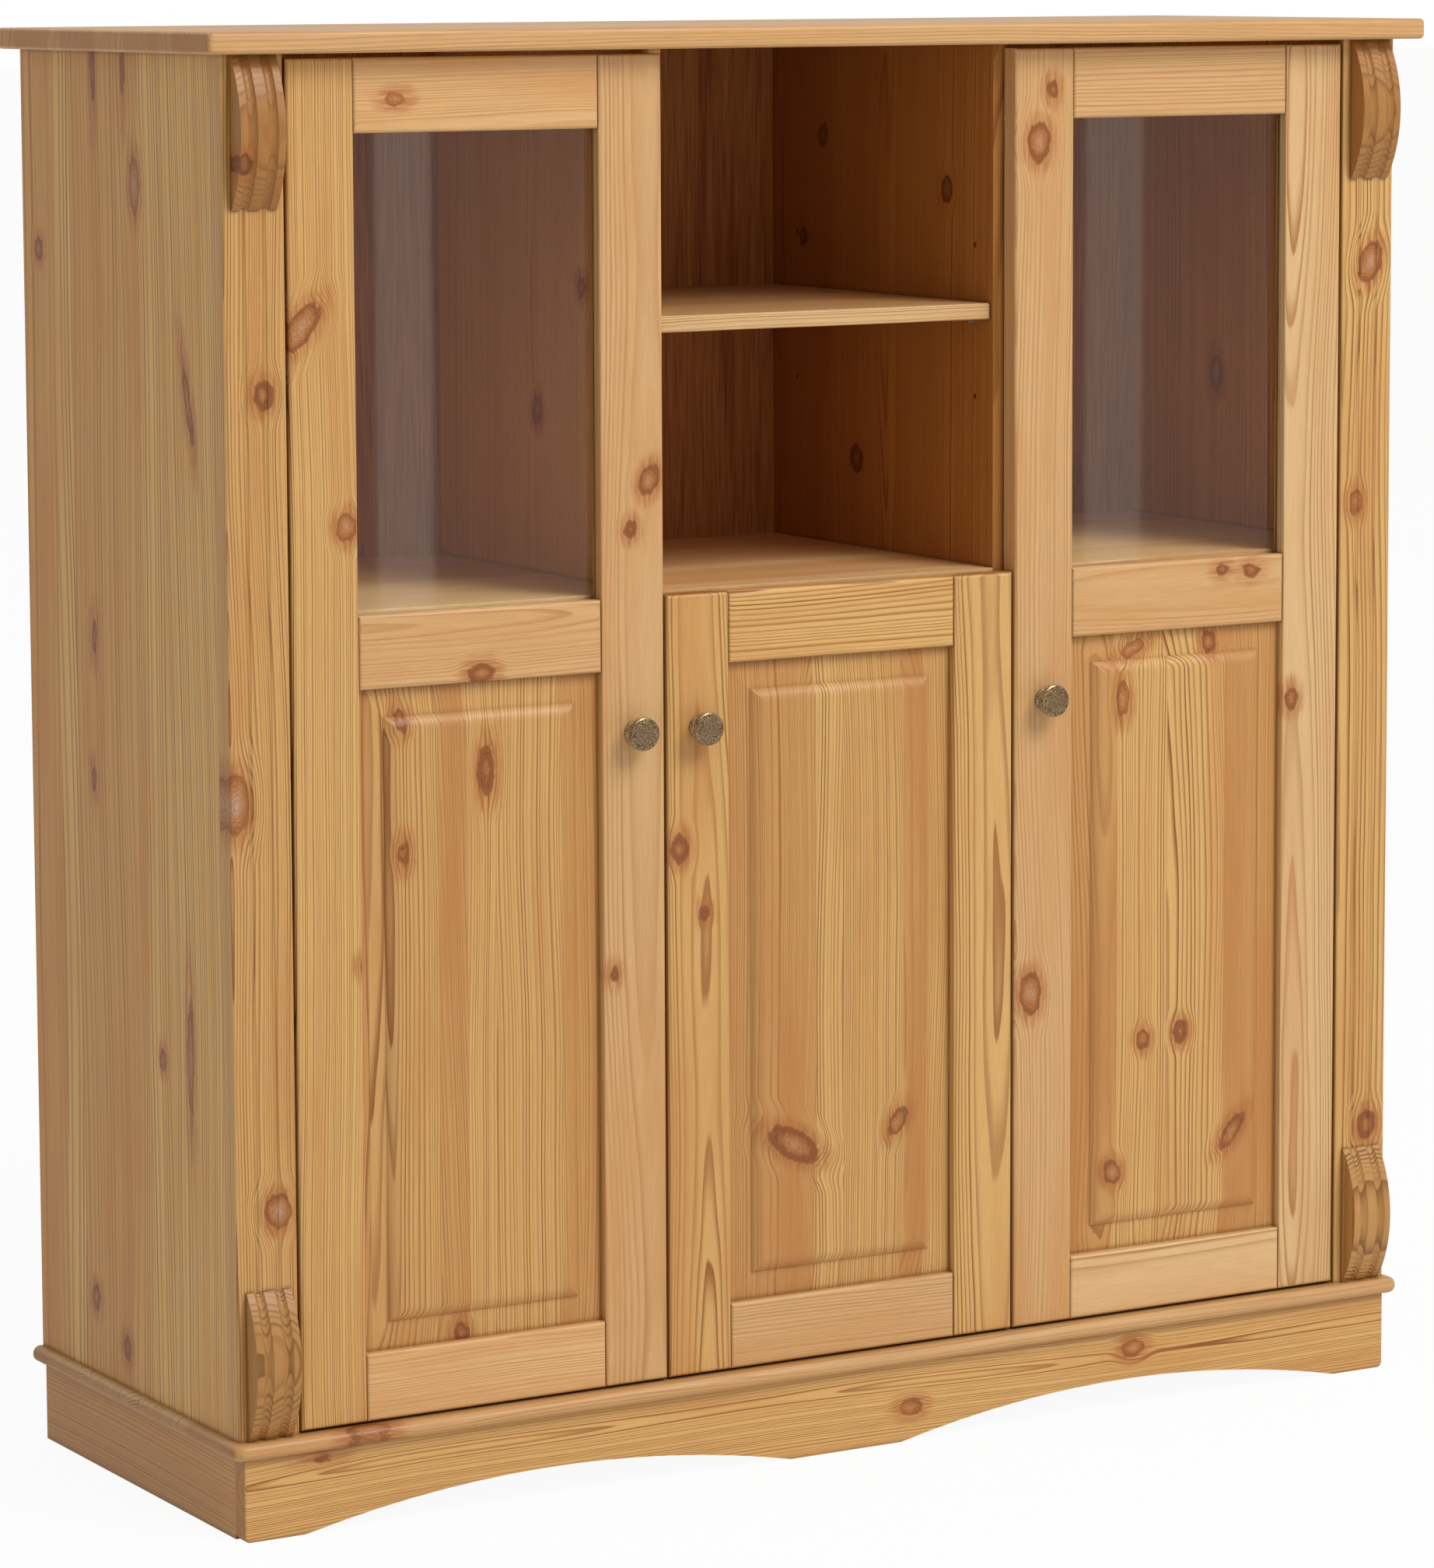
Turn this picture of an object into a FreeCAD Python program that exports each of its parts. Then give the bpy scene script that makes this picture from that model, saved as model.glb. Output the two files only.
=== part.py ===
import FreeCAD, Part
import math
import os
from types import SimpleNamespace

import Sketcher

# Country-style highboard of solid knotty pine.
#
# Three framed doors stand between two fluted pilasters with bow-fronted corbels.
# The outer doors are tall and glazed above a raised panel, the middle door is low,
# and an open niche with one loose shelf lies over it.
#
# Frame: +X to the right seen from the front, -Y to the front, +Z up, in millimetres.
# The origin is at floor level, in the middle of the top panel's width and depth.

doc = FreeCAD.newDocument("highboard")
sheet = doc.addObject("Spreadsheet::Sheet", "Sizes")

DRIVING_SIZES = {
    # the whole
    "carcass_width": 1160.0,
    "carcass_depth": 396.0,
    "total_height": 1232.0,
    # boards of the carcass
    "top_thickness": 18.0,
    "top_side_overhang": 20.0,
    "top_front_overhang": 21.0,
    "top_corner_round": 5.0,
    "top_edge_round": 4.0,
    "side_thickness": 18.0,
    "partition_thickness": 18.0,
    "back_thickness": 4.0,
    "back_inset": 1.0,
    "back_rebate_width": 9.0,
    # bottom panel and plinth
    "bottom_thickness": 14.0,
    "bottom_side_overhang": 9.5,
    "bottom_front_overhang": 13.0,
    "bottom_corner_round": 10.0,
    "nosing_round": 6.5,
    "plinth_height": 70.0,
    "plinth_thickness": 18.0,
    "plinth_side_inset": 2.5,
    "plinth_front_proud": 4.0,
    "plinth_foot_width": 53.0,
    "plinth_foot_round": 5.0,
    "plinth_centre_drop": 112.0,
    "plinth_arch_rise": 25.7,
    "plinth_edge_round": 2.0,
    # pilasters and corbels
    "pilaster_width": 55.0,
    "pilaster_edge_round": 2.0,
    "pilaster_groove_radius": 2.5,
    "pilaster_groove_depth": 1.0,
    "corbel_width": 40.0,
    "corbel_height": 124.0,
    "corbel_bow": 21.0,
    "corbel_lip": 2.0,
    "corbel_flute_width": 8.8,
    "corbel_flute_depth": 2.4,
    "corbel_middle_band": 9.6,
    # shelves
    "shelf_thickness": 14.0,
    "shelf_edge_round": 1.5,
    "niche_floor_over_knobs": 115.5,
    "niche_shelf_height": 990.0,
    "niche_shelf_setback": 4.0,
    "niche_shelf_play": 1.0,
    "shelf_pin_diameter": 5.0,
    "shelf_pin_reach": 9.0,
    "shelf_pin_hole_depth": 8.0,
    "shelf_pin_row_pitch": 66.0,
    "shelf_pin_front_inset": 29.0,
    "shelf_pin_rear_inset": 42.0,
    # soft discs on the partitions that the closed doors stop at
    "buffer_diameter": 6.0,
    "buffer_play": 0.3,
    "buffer_end_inset": 60.0,
    # door frames
    "door_gap": 2.5,
    "door_rest_gap": 2.0,
    "door_bottom_gap": 2.0,
    "door_top_gap": 4.0,
    "door_shelf_reveal": 2.5,
    "door_thickness": 18.0,
    "door_edge_round": 3.0,
    "hinge_edge_relief": 6.0,
    "stile_width": 60.0,
    "stile_inner_round": 1.5,
    "rail_width": 61.0,
    "bottom_rail_width": 57.0,
    "rail_edge_round": 3.0,
    "groove_depth": 9.0,
    "groove_width": 6.0,
    "groove_setback": 8.5,
    # raised panels
    "panel_play": 1.0,
    "panel_field_setback": 0.5,
    "panel_border_width": 35.5,
    "panel_border_rise": 2.0,
    "panel_cove_width": 12.0,
    # panes
    "pane_setback": 10.5,
    "pane_thickness": 4.0,
    "pane_rebate_depth": 9.0,
    "pane_play": 1.0,
    "bead_width": 8.0,
    # knobs
    "knob_diameter": 28.5,
    "knob_projection": 20.5,
    "knob_height": 644.0,
    "knob_edge_inset": 30.0,
    # concealed hinges
    "hinge_end_inset": 110.0,
    "hinge_axis_inset": 10.0,
    "hinge_axis_depth": 8.0,
    "hinge_pin_diameter": 3.0,
    "hinge_pin_clearance": 0.05,
    "hinge_eye_diameter": 5.2,
    "cup_diameter": 35.0,
    "cup_depth": 14.0,
    "cup_wall": 0.8,
    "cup_edge_distance": 5.0,
    "cup_plate_length": 60.0,
    "cup_plate_width": 23.0,
    "cup_plate_thickness": 1.2,
    "cup_plate_inset": 15.0,
    "cup_plate_corner_round": 5.0,
    "arm_thickness": 2.5,
    "arm_width": 12.0,
    "arm_neck_reach": 15.25,
    "arm_strap_length": 58.0,
    "arm_plate_length": 42.0,
    # length by which a cut runs past what it cuts
    "cut_overrun": 5.0,
}

# half outline of a knob from the door outwards: shares of its radius and of its projection
KNOB_OUTLINE_SHARES = (
    (0.63, 0.00),
    (0.63, 0.06),
    (0.50, 0.16),
    (0.38, 0.34),
    (0.40, 0.50),
    (0.58, 0.60),
    (0.94, 0.66),
    (0.97, 0.72),
    (0.93, 0.76),
    (0.97, 0.79),
    (1.00, 0.84),
    (0.97, 0.93),
    (0.90, 0.97),
    (0.45, 1.00),
)

# two places count as the same below this difference
SAME_PLACE = 1e-6


class Size:
    """A length: its value now, and the sheet formula that features are bound to."""

    def __init__(self, value, text):
        self.value = value
        self.text = text

    def __add__(self, other):
        other = as_size(other)
        return Size(self.value + other.value, "(%s + %s)" % (self.text, other.text))

    def __sub__(self, other):
        other = as_size(other)
        return Size(self.value - other.value, "(%s - %s)" % (self.text, other.text))

    def __mul__(self, other):
        other = as_size(other)
        return Size(self.value * other.value, "(%s * %s)" % (self.text, other.text))

    def __truediv__(self, other):
        other = as_size(other)
        return Size(self.value / other.value, "(%s / %s)" % (self.text, other.text))

    def __neg__(self):
        return ZERO - self


def as_size(number):
    """A count or a share as a term of a formula."""
    return number if isinstance(number, Size) else Size(number, repr(number))


def fill_sheet():
    """Write every driving size into the sheet and give each its name."""
    named = {}
    for row, (name, value) in enumerate(DRIVING_SIZES.items(), start=1):
        sheet.set("A%d" % row, name)
        sheet.set("B%d" % row, str(value))
        sheet.setAlias("B%d" % row, name)
        named[name] = Size(value, "Sizes." + name)
    doc.recompute()
    return SimpleNamespace(**named)


ZERO = Size(0.0, "0")
S = fill_sheet()

# places worked out from the driving sizes
HALF_WIDTH = S.carcass_width / 2
FACE_Y = (S.top_front_overhang - S.carcass_depth) / 2
REAR_Y = FACE_Y + S.carcass_depth
FRAME_Y = FACE_Y + S.door_thickness + S.door_rest_gap
BACK_Y = REAR_Y - S.back_inset - S.back_thickness
DECK_Z = S.plinth_height + S.bottom_thickness
CEILING_Z = S.total_height - S.top_thickness
UPRIGHT_HEIGHT = CEILING_Z - DECK_Z
SHELF_DEPTH = BACK_Y - FRAME_Y
DOOR_WIDTH = (S.carcass_width - S.pilaster_width * 2 - S.door_gap * 4) / 3
DOOR_BOTTOM_Z = DECK_Z + S.door_bottom_gap
TALL_DOOR_HEIGHT = CEILING_Z - S.door_top_gap - DOOR_BOTTOM_Z
NICHE_FLOOR_Z = S.knob_height + S.niche_floor_over_knobs
LOW_DOOR_HEIGHT = NICHE_FLOOR_Z - S.door_shelf_reveal - DOOR_BOTTOM_Z
BAY_WIDTH = DOOR_WIDTH + S.door_gap - S.partition_thickness
PARTITION_X = (DOOR_WIDTH + S.door_gap) / 2
FIXED_SHELF_Z = NICHE_FLOOR_Z - S.shelf_thickness
OUTER_BAY_WIDTH = HALF_WIDTH - S.side_thickness - PARTITION_X - S.partition_thickness / 2
DOOR_PITCH = DOOR_WIDTH + S.door_gap
CUP_INSET = S.cup_edge_distance + S.cup_diameter / 2
PIN_Z = S.niche_shelf_height - S.shelf_thickness - S.shelf_pin_diameter / 2

nodes = []
cuts = []


def new_body(label):
    """A piece whose name is also the name of its file."""
    body = doc.addObject("PartDesign::Body", label)
    body.Label = label
    return body


def place(piece, x, y, z):
    """Bind the place of a piece to the sizes it is worked out from."""
    for axis, size in zip("xyz", (x, y, z)):
        piece.setExpression("Placement.Base." + axis, size.text)


def finish(piece, x, y, z):
    """Place a piece and keep it as one of the nodes."""
    place(piece, x, y, z)
    nodes.append(piece)
    return piece


def group(label, pieces):
    """Several alike solids kept together as one node."""
    compound = doc.addObject("Part::Compound", label)
    compound.Label = label
    compound.Links = pieces
    nodes.append(compound)
    return compound


def sketch_on(body, role, offset=ZERO):
    """An empty sketch on an origin plane of the body, moved along the plane's normal."""
    plane = next(item for item in body.Origin.OriginFeatures if item.Role == role)
    sketch = body.newObject("Sketcher::SketchObject", body.Name + "_sketch")
    sketch.AttachmentSupport = (plane, "")
    sketch.MapMode = "FlatFace"
    sketch.setExpression("AttachmentOffset.Base.z", offset.text)
    return sketch


def bind(sketch, kind, size, *ends):
    """Add a dimension to a sketch and bind it to a size."""
    number = sketch.addConstraint(Sketcher.Constraint(kind, *ends, size.value))
    sketch.setExpression("Constraints[%d]" % number, size.text)


def pin_point(sketch, side, end, u, v):
    """Fix an end point of a side by its distances from the sketch's origin."""
    for kind, size, axis in (("DistanceX", u, -2), ("DistanceY", v, -1)):
        if size is ZERO:
            sketch.addConstraint(Sketcher.Constraint("PointOnObject", side, end, axis))
        else:
            bind(sketch, kind, size, -1, 1, side, end)


def arc_between(start, end, radius, turn):
    """Arc from start to end; the centre lies left of the way for turn 1, right for -1."""
    chord = end - start
    across = FreeCAD.Vector(-chord.y, chord.x, 0).normalize()
    reach = math.sqrt(max(radius ** 2 - (chord.Length / 2) ** 2, 0))
    centre = (start + end) * 0.5 + across * (reach * turn)
    first, last = (start, end) if turn > 0 else (end, start)
    angles = [math.atan2(point.y - centre.y, point.x - centre.x) for point in (first, last)]
    return Part.ArcOfCircle(Part.Circle(centre, FreeCAD.Vector(0, 0, 1), radius), *angles)


def outline(sketch, corners):
    """A closed outline: (u, v) starts a straight side, (u, v, radius, turn) an arc."""
    points = [FreeCAD.Vector(corner[0].value, corner[1].value, 0) for corner in corners]
    sides = []
    for here, corner in enumerate(corners):
        start = points[here]
        end = points[(here + 1) % len(points)]
        if len(corner) == 2:
            side = sketch.addGeometry(Part.LineSegment(start, end))
            sides.append((side, 1, 2))
            continue
        radius, turn = corner[2:]
        side = sketch.addGeometry(arc_between(start, end, radius.value, turn))
        sides.append((side, 1, 2) if turn > 0 else (side, 2, 1))
    for here, (side, first, last) in enumerate(sides):
        after, after_first, _ = sides[(here + 1) % len(sides)]
        sketch.addConstraint(Sketcher.Constraint("Coincident", side, last, after, after_first))
    for corner, (side, first, last) in zip(corners, sides):
        pin_point(sketch, side, first, corner[0], corner[1])
        if len(corner) > 2:
            bind(sketch, "Radius", corner[2], side)


def rectangle(sketch, u0, v0, u1, v1):
    """A closed rectangle between two opposite corners."""
    outline(sketch, [(u0, v0), (u1, v0), (u1, v1), (u0, v1)])


def circle(sketch, u, v, diameter):
    """A full circle about a point."""
    centre = FreeCAD.Vector(u.value, v.value, 0)
    ring = sketch.addGeometry(Part.Circle(centre, FreeCAD.Vector(0, 0, 1), diameter.value / 2))
    pin_point(sketch, ring, 3, u, v)
    bind(sketch, "Diameter", diameter, ring)


def pad(body, sketch, length, turned=False):
    """Add material from a sketch along its normal, or against it when turned."""
    feature = body.newObject("PartDesign::Pad", body.Name + "_pad")
    feature.Profile = sketch
    feature.setExpression("Length", length.text)
    feature.Reversed = turned
    return feature


def cut(body, sketch, depth, turned=False):
    """Take material away against the sketch's normal, or along it when turned."""
    feature = body.newObject("PartDesign::Pocket", body.Name + "_cut")
    feature.Profile = sketch
    feature.setExpression("Length", depth.text)
    feature.Reversed = turned
    cuts.append(feature)
    return feature


def drill(body, role, offset, centres, diameter, depth, turned=False):
    """Round blind holes of one size in a face that lies on a moved origin plane."""
    sketch = sketch_on(body, role, offset)
    for u, v in centres:
        circle(sketch, u, v, diameter)
    cut(body, sketch, depth, turned)


def round_edges(body, radius, chosen):
    """Round the edges of a body that a test picks by their bounding boxes."""
    doc.recompute()
    base = body.Tip
    names = []
    for number, edge in enumerate(base.Shape.Edges, start=1):
        if chosen(edge.BoundBox):
            names.append("Edge%d" % number)
    feature = body.newObject("PartDesign::Fillet", body.Name + "_round")
    feature.Base = (base, names)
    feature.setExpression("Radius", radius.text)


def same(first, second):
    """Whether two coordinates are the same place."""
    return abs(first - second) < SAME_PLACE


def runs_along_z(box):
    """Whether an edge is a straight line along Z."""
    return same(box.XMin, box.XMax) and same(box.YMin, box.YMax)


def flat_at_z(box, levels):
    """Whether an edge lies wholly in one of the given levels."""
    return same(box.ZMin, box.ZMax) and any(same(box.ZMin, level.value) for level in levels)


def slab(label, width, depth, thickness):
    """A lying board: width along X about the middle, depth to the rear from its front edge."""
    body = new_body(label)
    sketch = sketch_on(body, "XY_Plane")
    rectangle(sketch, -width / 2, ZERO, width / 2, depth)
    pad(body, sketch, thickness)
    return body


def round_slab_edges(body, depth, thickness, corner_round, edge_round):
    """Round a lying board's front corners, then its front and side edges above and below."""
    round_edges(body, corner_round, lambda box: runs_along_z(box) and same(box.YMin, 0))
    round_edges(
        body,
        edge_round,
        lambda box: flat_at_z(box, (ZERO, thickness)) and not same(box.YMin, depth.value),
    )


def make_top_panel():
    """Top board: overhangs the front and the sides, flush at the rear."""
    depth = S.carcass_depth + S.top_front_overhang
    body = slab("top_panel", S.carcass_width + S.top_side_overhang * 2, depth, S.top_thickness)
    round_slab_edges(body, depth, S.top_thickness, S.top_corner_round, S.top_edge_round)
    finish(body, ZERO, FACE_Y - S.top_front_overhang, CEILING_Z)


def make_bottom_panel():
    """Bottom board with a round nosing that stands out over the plinth."""
    depth = S.carcass_depth + S.bottom_front_overhang
    width = S.carcass_width + S.bottom_side_overhang * 2
    body = slab("bottom_panel", width, depth, S.bottom_thickness)
    round_slab_edges(body, depth, S.bottom_thickness, S.bottom_corner_round, S.nosing_round)
    finish(body, ZERO, FACE_Y - S.bottom_front_overhang, S.plinth_height)


def make_front_plinth():
    """Front plinth board: two feet, a middle drop and a shallow arch on each side of it."""
    body = new_body("front_plinth")
    half = HALF_WIDTH - S.plinth_side_inset
    foot = half - S.plinth_foot_width
    drop = S.plinth_centre_drop / 2
    half_span = (foot - drop) / 2
    rise = S.plinth_arch_rise
    radius = (half_span * half_span + rise * rise) / (rise * 2)
    sketch = sketch_on(body, "XZ_Plane")
    outline(sketch, [
        (-half, ZERO),
        (-foot, ZERO, radius, -1),
        (-drop, ZERO),
        (drop, ZERO, radius, -1),
        (foot, ZERO),
        (half, ZERO),
        (half, S.plinth_height),
        (-half, S.plinth_height),
    ])
    pad(body, sketch, S.plinth_thickness, turned=True)
    round_edges(
        body,
        S.plinth_foot_round,
        lambda box: flat_at_z(box, (ZERO,)) and same(abs(box.XMin), half.value) and same(box.XMin, box.XMax),
    )
    round_edges(
        body,
        S.plinth_edge_round,
        lambda box: runs_along_z(box) and same(box.YMin, 0) and same(abs(box.XMin), half.value),
    )
    finish(body, ZERO, FACE_Y - S.plinth_front_proud, ZERO)


def make_rear_and_side_plinth():
    """Side plinth boards behind the front board, and the rear board between them."""
    front = FACE_Y - S.plinth_front_proud + S.plinth_thickness
    outer = HALF_WIDTH - S.plinth_side_inset
    for name, left in (("left_plinth", -outer), ("right_plinth", outer - S.plinth_thickness)):
        body = new_body(name)
        sketch = sketch_on(body, "XY_Plane")
        rectangle(sketch, ZERO, ZERO, S.plinth_thickness, REAR_Y - front)
        pad(body, sketch, S.plinth_height)
        finish(body, left, front, ZERO)
    width = (outer - S.plinth_thickness) * 2
    body = slab("rear_plinth", width, S.plinth_thickness, S.plinth_height)
    finish(body, ZERO, REAR_Y - S.plinth_thickness, ZERO)


def make_side_panels():
    """Side boards behind the pilasters, with a rebate for the back panel."""
    depth = REAR_Y - FRAME_Y
    rebate = S.back_rebate_width
    for name, side in (("left_side_panel", -1), ("right_side_panel", 1)):
        body = new_body(name)
        sketch = sketch_on(body, "XY_Plane")
        inner = S.side_thickness * -side
        step = (S.side_thickness - rebate) * -side
        corners = [
            (ZERO, ZERO),
            (inner, ZERO),
            (inner, SHELF_DEPTH),
            (step, SHELF_DEPTH),
            (step, depth),
            (ZERO, depth),
        ]
        outline(sketch, corners)
        pad(body, sketch, UPRIGHT_HEIGHT)
        finish(body, HALF_WIDTH * side, FRAME_Y, DECK_Z)


def make_partitions():
    """Two uprights between the bays, with rows of shelf pin holes towards the niche."""
    columns = (S.shelf_pin_front_inset, SHELF_DEPTH - S.shelf_pin_rear_inset)
    levels = [PIN_Z - DECK_Z + S.shelf_pin_row_pitch * row for row in (-1, 0, 1)]
    half = S.partition_thickness / 2
    for name, side in (("left_partition", -1), ("right_partition", 1)):
        body = new_body(name)
        sketch = sketch_on(body, "XY_Plane")
        rectangle(sketch, -half, ZERO, half, SHELF_DEPTH)
        pad(body, sketch, UPRIGHT_HEIGHT)
        holes = [(column, level) for column in columns for level in levels]
        drill(body, "YZ_Plane", half * -side, holes, S.shelf_pin_diameter,
              S.shelf_pin_hole_depth, turned=side > 0)
        finish(body, PARTITION_X * side, FRAME_Y, DECK_Z)


def hinge_levels(door_height):
    """Heights of a door's hinges above its lower end: the lower two are alike on all doors."""
    levels = [S.hinge_end_inset, LOW_DOOR_HEIGHT - S.hinge_end_inset]
    if door_height is TALL_DOOR_HEIGHT:
        levels.append(TALL_DOOR_HEIGHT - S.hinge_end_inset)
    return levels


def make_back_panel():
    """Thin back board in the rebates of the sides, on the rear edges of the partitions."""
    body = new_body("back_panel")
    half = HALF_WIDTH - S.side_thickness + S.back_rebate_width
    sketch = sketch_on(body, "XZ_Plane")
    rectangle(sketch, -half, ZERO, half, UPRIGHT_HEIGHT)
    pad(body, sketch, S.back_thickness, turned=True)
    finish(body, ZERO, BACK_Y, DECK_Z)


def make_pilasters():
    """Front strips at both ends, each with two shallow round grooves down its face."""
    depth = FRAME_Y - FACE_Y
    width = S.pilaster_width
    for name, left in (("left_pilaster", -HALF_WIDTH), ("right_pilaster", HALF_WIDTH - width)):
        body = new_body(name)
        sketch = sketch_on(body, "XY_Plane")
        rectangle(sketch, ZERO, ZERO, width, depth)
        pad(body, sketch, UPRIGHT_HEIGHT)
        groove_y = S.pilaster_groove_depth - S.pilaster_groove_radius
        grooves = [(width / 3, groove_y), (width * 2 / 3, groove_y)]
        drill(body, "XY_Plane", -S.cut_overrun, grooves, S.pilaster_groove_radius * 2,
              UPRIGHT_HEIGHT + S.cut_overrun * 2, turned=True)
        round_edges(
            body,
            S.pilaster_edge_round,
            lambda box: runs_along_z(box) and same(box.YMin, 0)
            and (same(box.XMin, 0) or same(box.XMin, width.value)),
        )
        finish(body, left, FACE_Y, DECK_Z)


def make_corbels():
    """Bow-fronted blocks at both ends of each pilaster, with two hollow flutes over the bow."""
    lip = S.corbel_lip
    half = S.corbel_height / 2
    rise = S.corbel_bow - lip
    radius = (half * half + rise * rise) / (rise * 2)
    hub_y = radius - S.corbel_bow
    flute_half = S.corbel_flute_width / 2
    flute_radius = (flute_half * flute_half + S.corbel_flute_depth * S.corbel_flute_depth) / (
        S.corbel_flute_depth * 2)
    flute_x = (S.corbel_middle_band + S.corbel_flute_width) / 2
    flute_reach = radius + flute_radius - S.corbel_flute_depth
    centre_x = HALF_WIDTH - S.pilaster_width / 2
    for level, base in (("upper", CEILING_Z - half), ("lower", DECK_Z + half)):
        for side_name, side in (("left", -1), ("right", 1)):
            body = new_body("%s_%s_corbel" % (level, side_name))
            sketch = sketch_on(body, "YZ_Plane", -S.corbel_width / 2)
            outline(sketch, [
                (ZERO, -half),
                (ZERO, half),
                (-lip, half, radius, 1),
                (-lip, -half),
            ])
            pad(body, sketch, S.corbel_width)
            hollow = sketch_on(body, "XY_Plane")
            for way in (-1, 1):
                circle(hollow, flute_x * way, hub_y - flute_reach, flute_radius * 2)
            hub = hollow.addGeometry(Part.LineSegment(
                FreeCAD.Vector(-flute_x.value, hub_y.value, 0),
                FreeCAD.Vector(flute_x.value, hub_y.value, 0)), True)
            pin_point(hollow, hub, 1, -flute_x, hub_y)
            pin_point(hollow, hub, 2, flute_x, hub_y)
            groove = body.newObject("PartDesign::Groove", body.Name + "_flutes")
            groove.Profile = hollow
            groove.ReferenceAxis = (hollow, ["Axis0"])
            groove.Angle = 360
            cuts.append(groove)
            finish(body, centre_x * side, FACE_Y, base)


def make_fixed_shelves():
    """Fixed shelves at one level: the niche floor and the floors of the glazed bays."""
    outer_x = PARTITION_X + S.partition_thickness / 2 + OUTER_BAY_WIDTH / 2
    for name, x, width in (
        ("left_fixed_shelf", -outer_x, OUTER_BAY_WIDTH),
        ("middle_fixed_shelf", ZERO, BAY_WIDTH),
        ("right_fixed_shelf", outer_x, OUTER_BAY_WIDTH),
    ):
        body = slab(name, width, SHELF_DEPTH, S.shelf_thickness)
        finish(body, x, FRAME_Y, FIXED_SHELF_Z)


def make_niche_shelf():
    """Loose shelf of the niche, lying on four pins."""
    depth = SHELF_DEPTH - S.niche_shelf_setback - S.niche_shelf_play
    width = BAY_WIDTH - S.niche_shelf_play * 2
    body = slab("niche_shelf", width, depth, S.shelf_thickness)
    round_edges(
        body,
        S.shelf_edge_round,
        lambda box: flat_at_z(box, (ZERO, S.shelf_thickness)) and same(box.YMax, 0),
    )
    finish(body, ZERO, FRAME_Y + S.niche_shelf_setback, S.niche_shelf_height - S.shelf_thickness)


def make_shelf_pins():
    """Four metal pins in the partitions under the niche shelf."""
    columns = (S.shelf_pin_front_inset, SHELF_DEPTH - S.shelf_pin_rear_inset)
    pins = []
    for side in (-1, 1):
        for column in columns:
            body = new_body("shelf_pin")
            sketch = sketch_on(body, "YZ_Plane")
            circle(sketch, ZERO, ZERO, S.shelf_pin_diameter)
            pad(body, sketch, S.shelf_pin_hole_depth + S.shelf_pin_reach, turned=side > 0)
            inside = PARTITION_X - S.partition_thickness / 2 + S.shelf_pin_hole_depth
            place(body, inside * side, FRAME_Y + column, PIN_Z)
            pins.append(body)
    group("shelf_pins", pins)


def make_stile(label, height, left, hinged, rails):
    """Upright of a door frame, seen from the front with its outer edge left or right.

    The inner edge has a groove for the panel and the rail tongues, and where the door is
    glazed a rebate for the pane instead. rails holds the groove and rebate stretches.
    """
    body = new_body(label)
    width = S.stile_width
    way = 1 if left else -1
    sketch = sketch_on(body, "XY_Plane")
    rectangle(sketch, ZERO, ZERO, width * way, S.door_thickness)
    pad(body, sketch, height)
    inner = width * way
    past = inner + S.cut_overrun * way
    groove_rear = S.groove_setback + S.groove_width
    for low, high in rails.grooves:
        sketch = sketch_on(body, "XY_Plane", low)
        rectangle(sketch, inner - S.groove_depth * way, S.groove_setback, past, groove_rear)
        cut(body, sketch, high - low, turned=True)
    for low, high in rails.rebates:
        sketch = sketch_on(body, "XY_Plane", low)
        rectangle(sketch, inner - S.pane_rebate_depth * way, S.pane_setback,
                  past, S.door_thickness + S.cut_overrun)
        cut(body, sketch, high - low, turned=True)
    if hinged:
        cups = [(CUP_INSET * way, level) for level in hinge_levels(height)]
        drill(body, "XZ_Plane", -S.door_thickness, cups, S.cup_diameter, S.cup_depth, turned=True)
    round_stile_edges(body, height, inner, hinged)
    return body


def round_stile_edges(body, height, inner, hinged):
    """Round the front edges, and ease the rear edge on the hinge side so that it swings clear."""
    ends = (ZERO, height)
    round_edges(
        body,
        S.door_edge_round,
        lambda box: same(box.YMax, 0)
        and (runs_along_z(box) and same(box.XMin, 0) or flat_at_z(box, ends)),
    )
    if hinged:
        round_edges(
            body,
            S.hinge_edge_relief,
            lambda box: runs_along_z(box) and same(box.XMin, 0)
            and same(box.YMin, S.door_thickness.value),
        )
    round_edges(
        body,
        S.stile_inner_round,
        lambda box: runs_along_z(box) and same(box.XMin, inner.value) and same(box.YMin, 0),
    )


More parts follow.
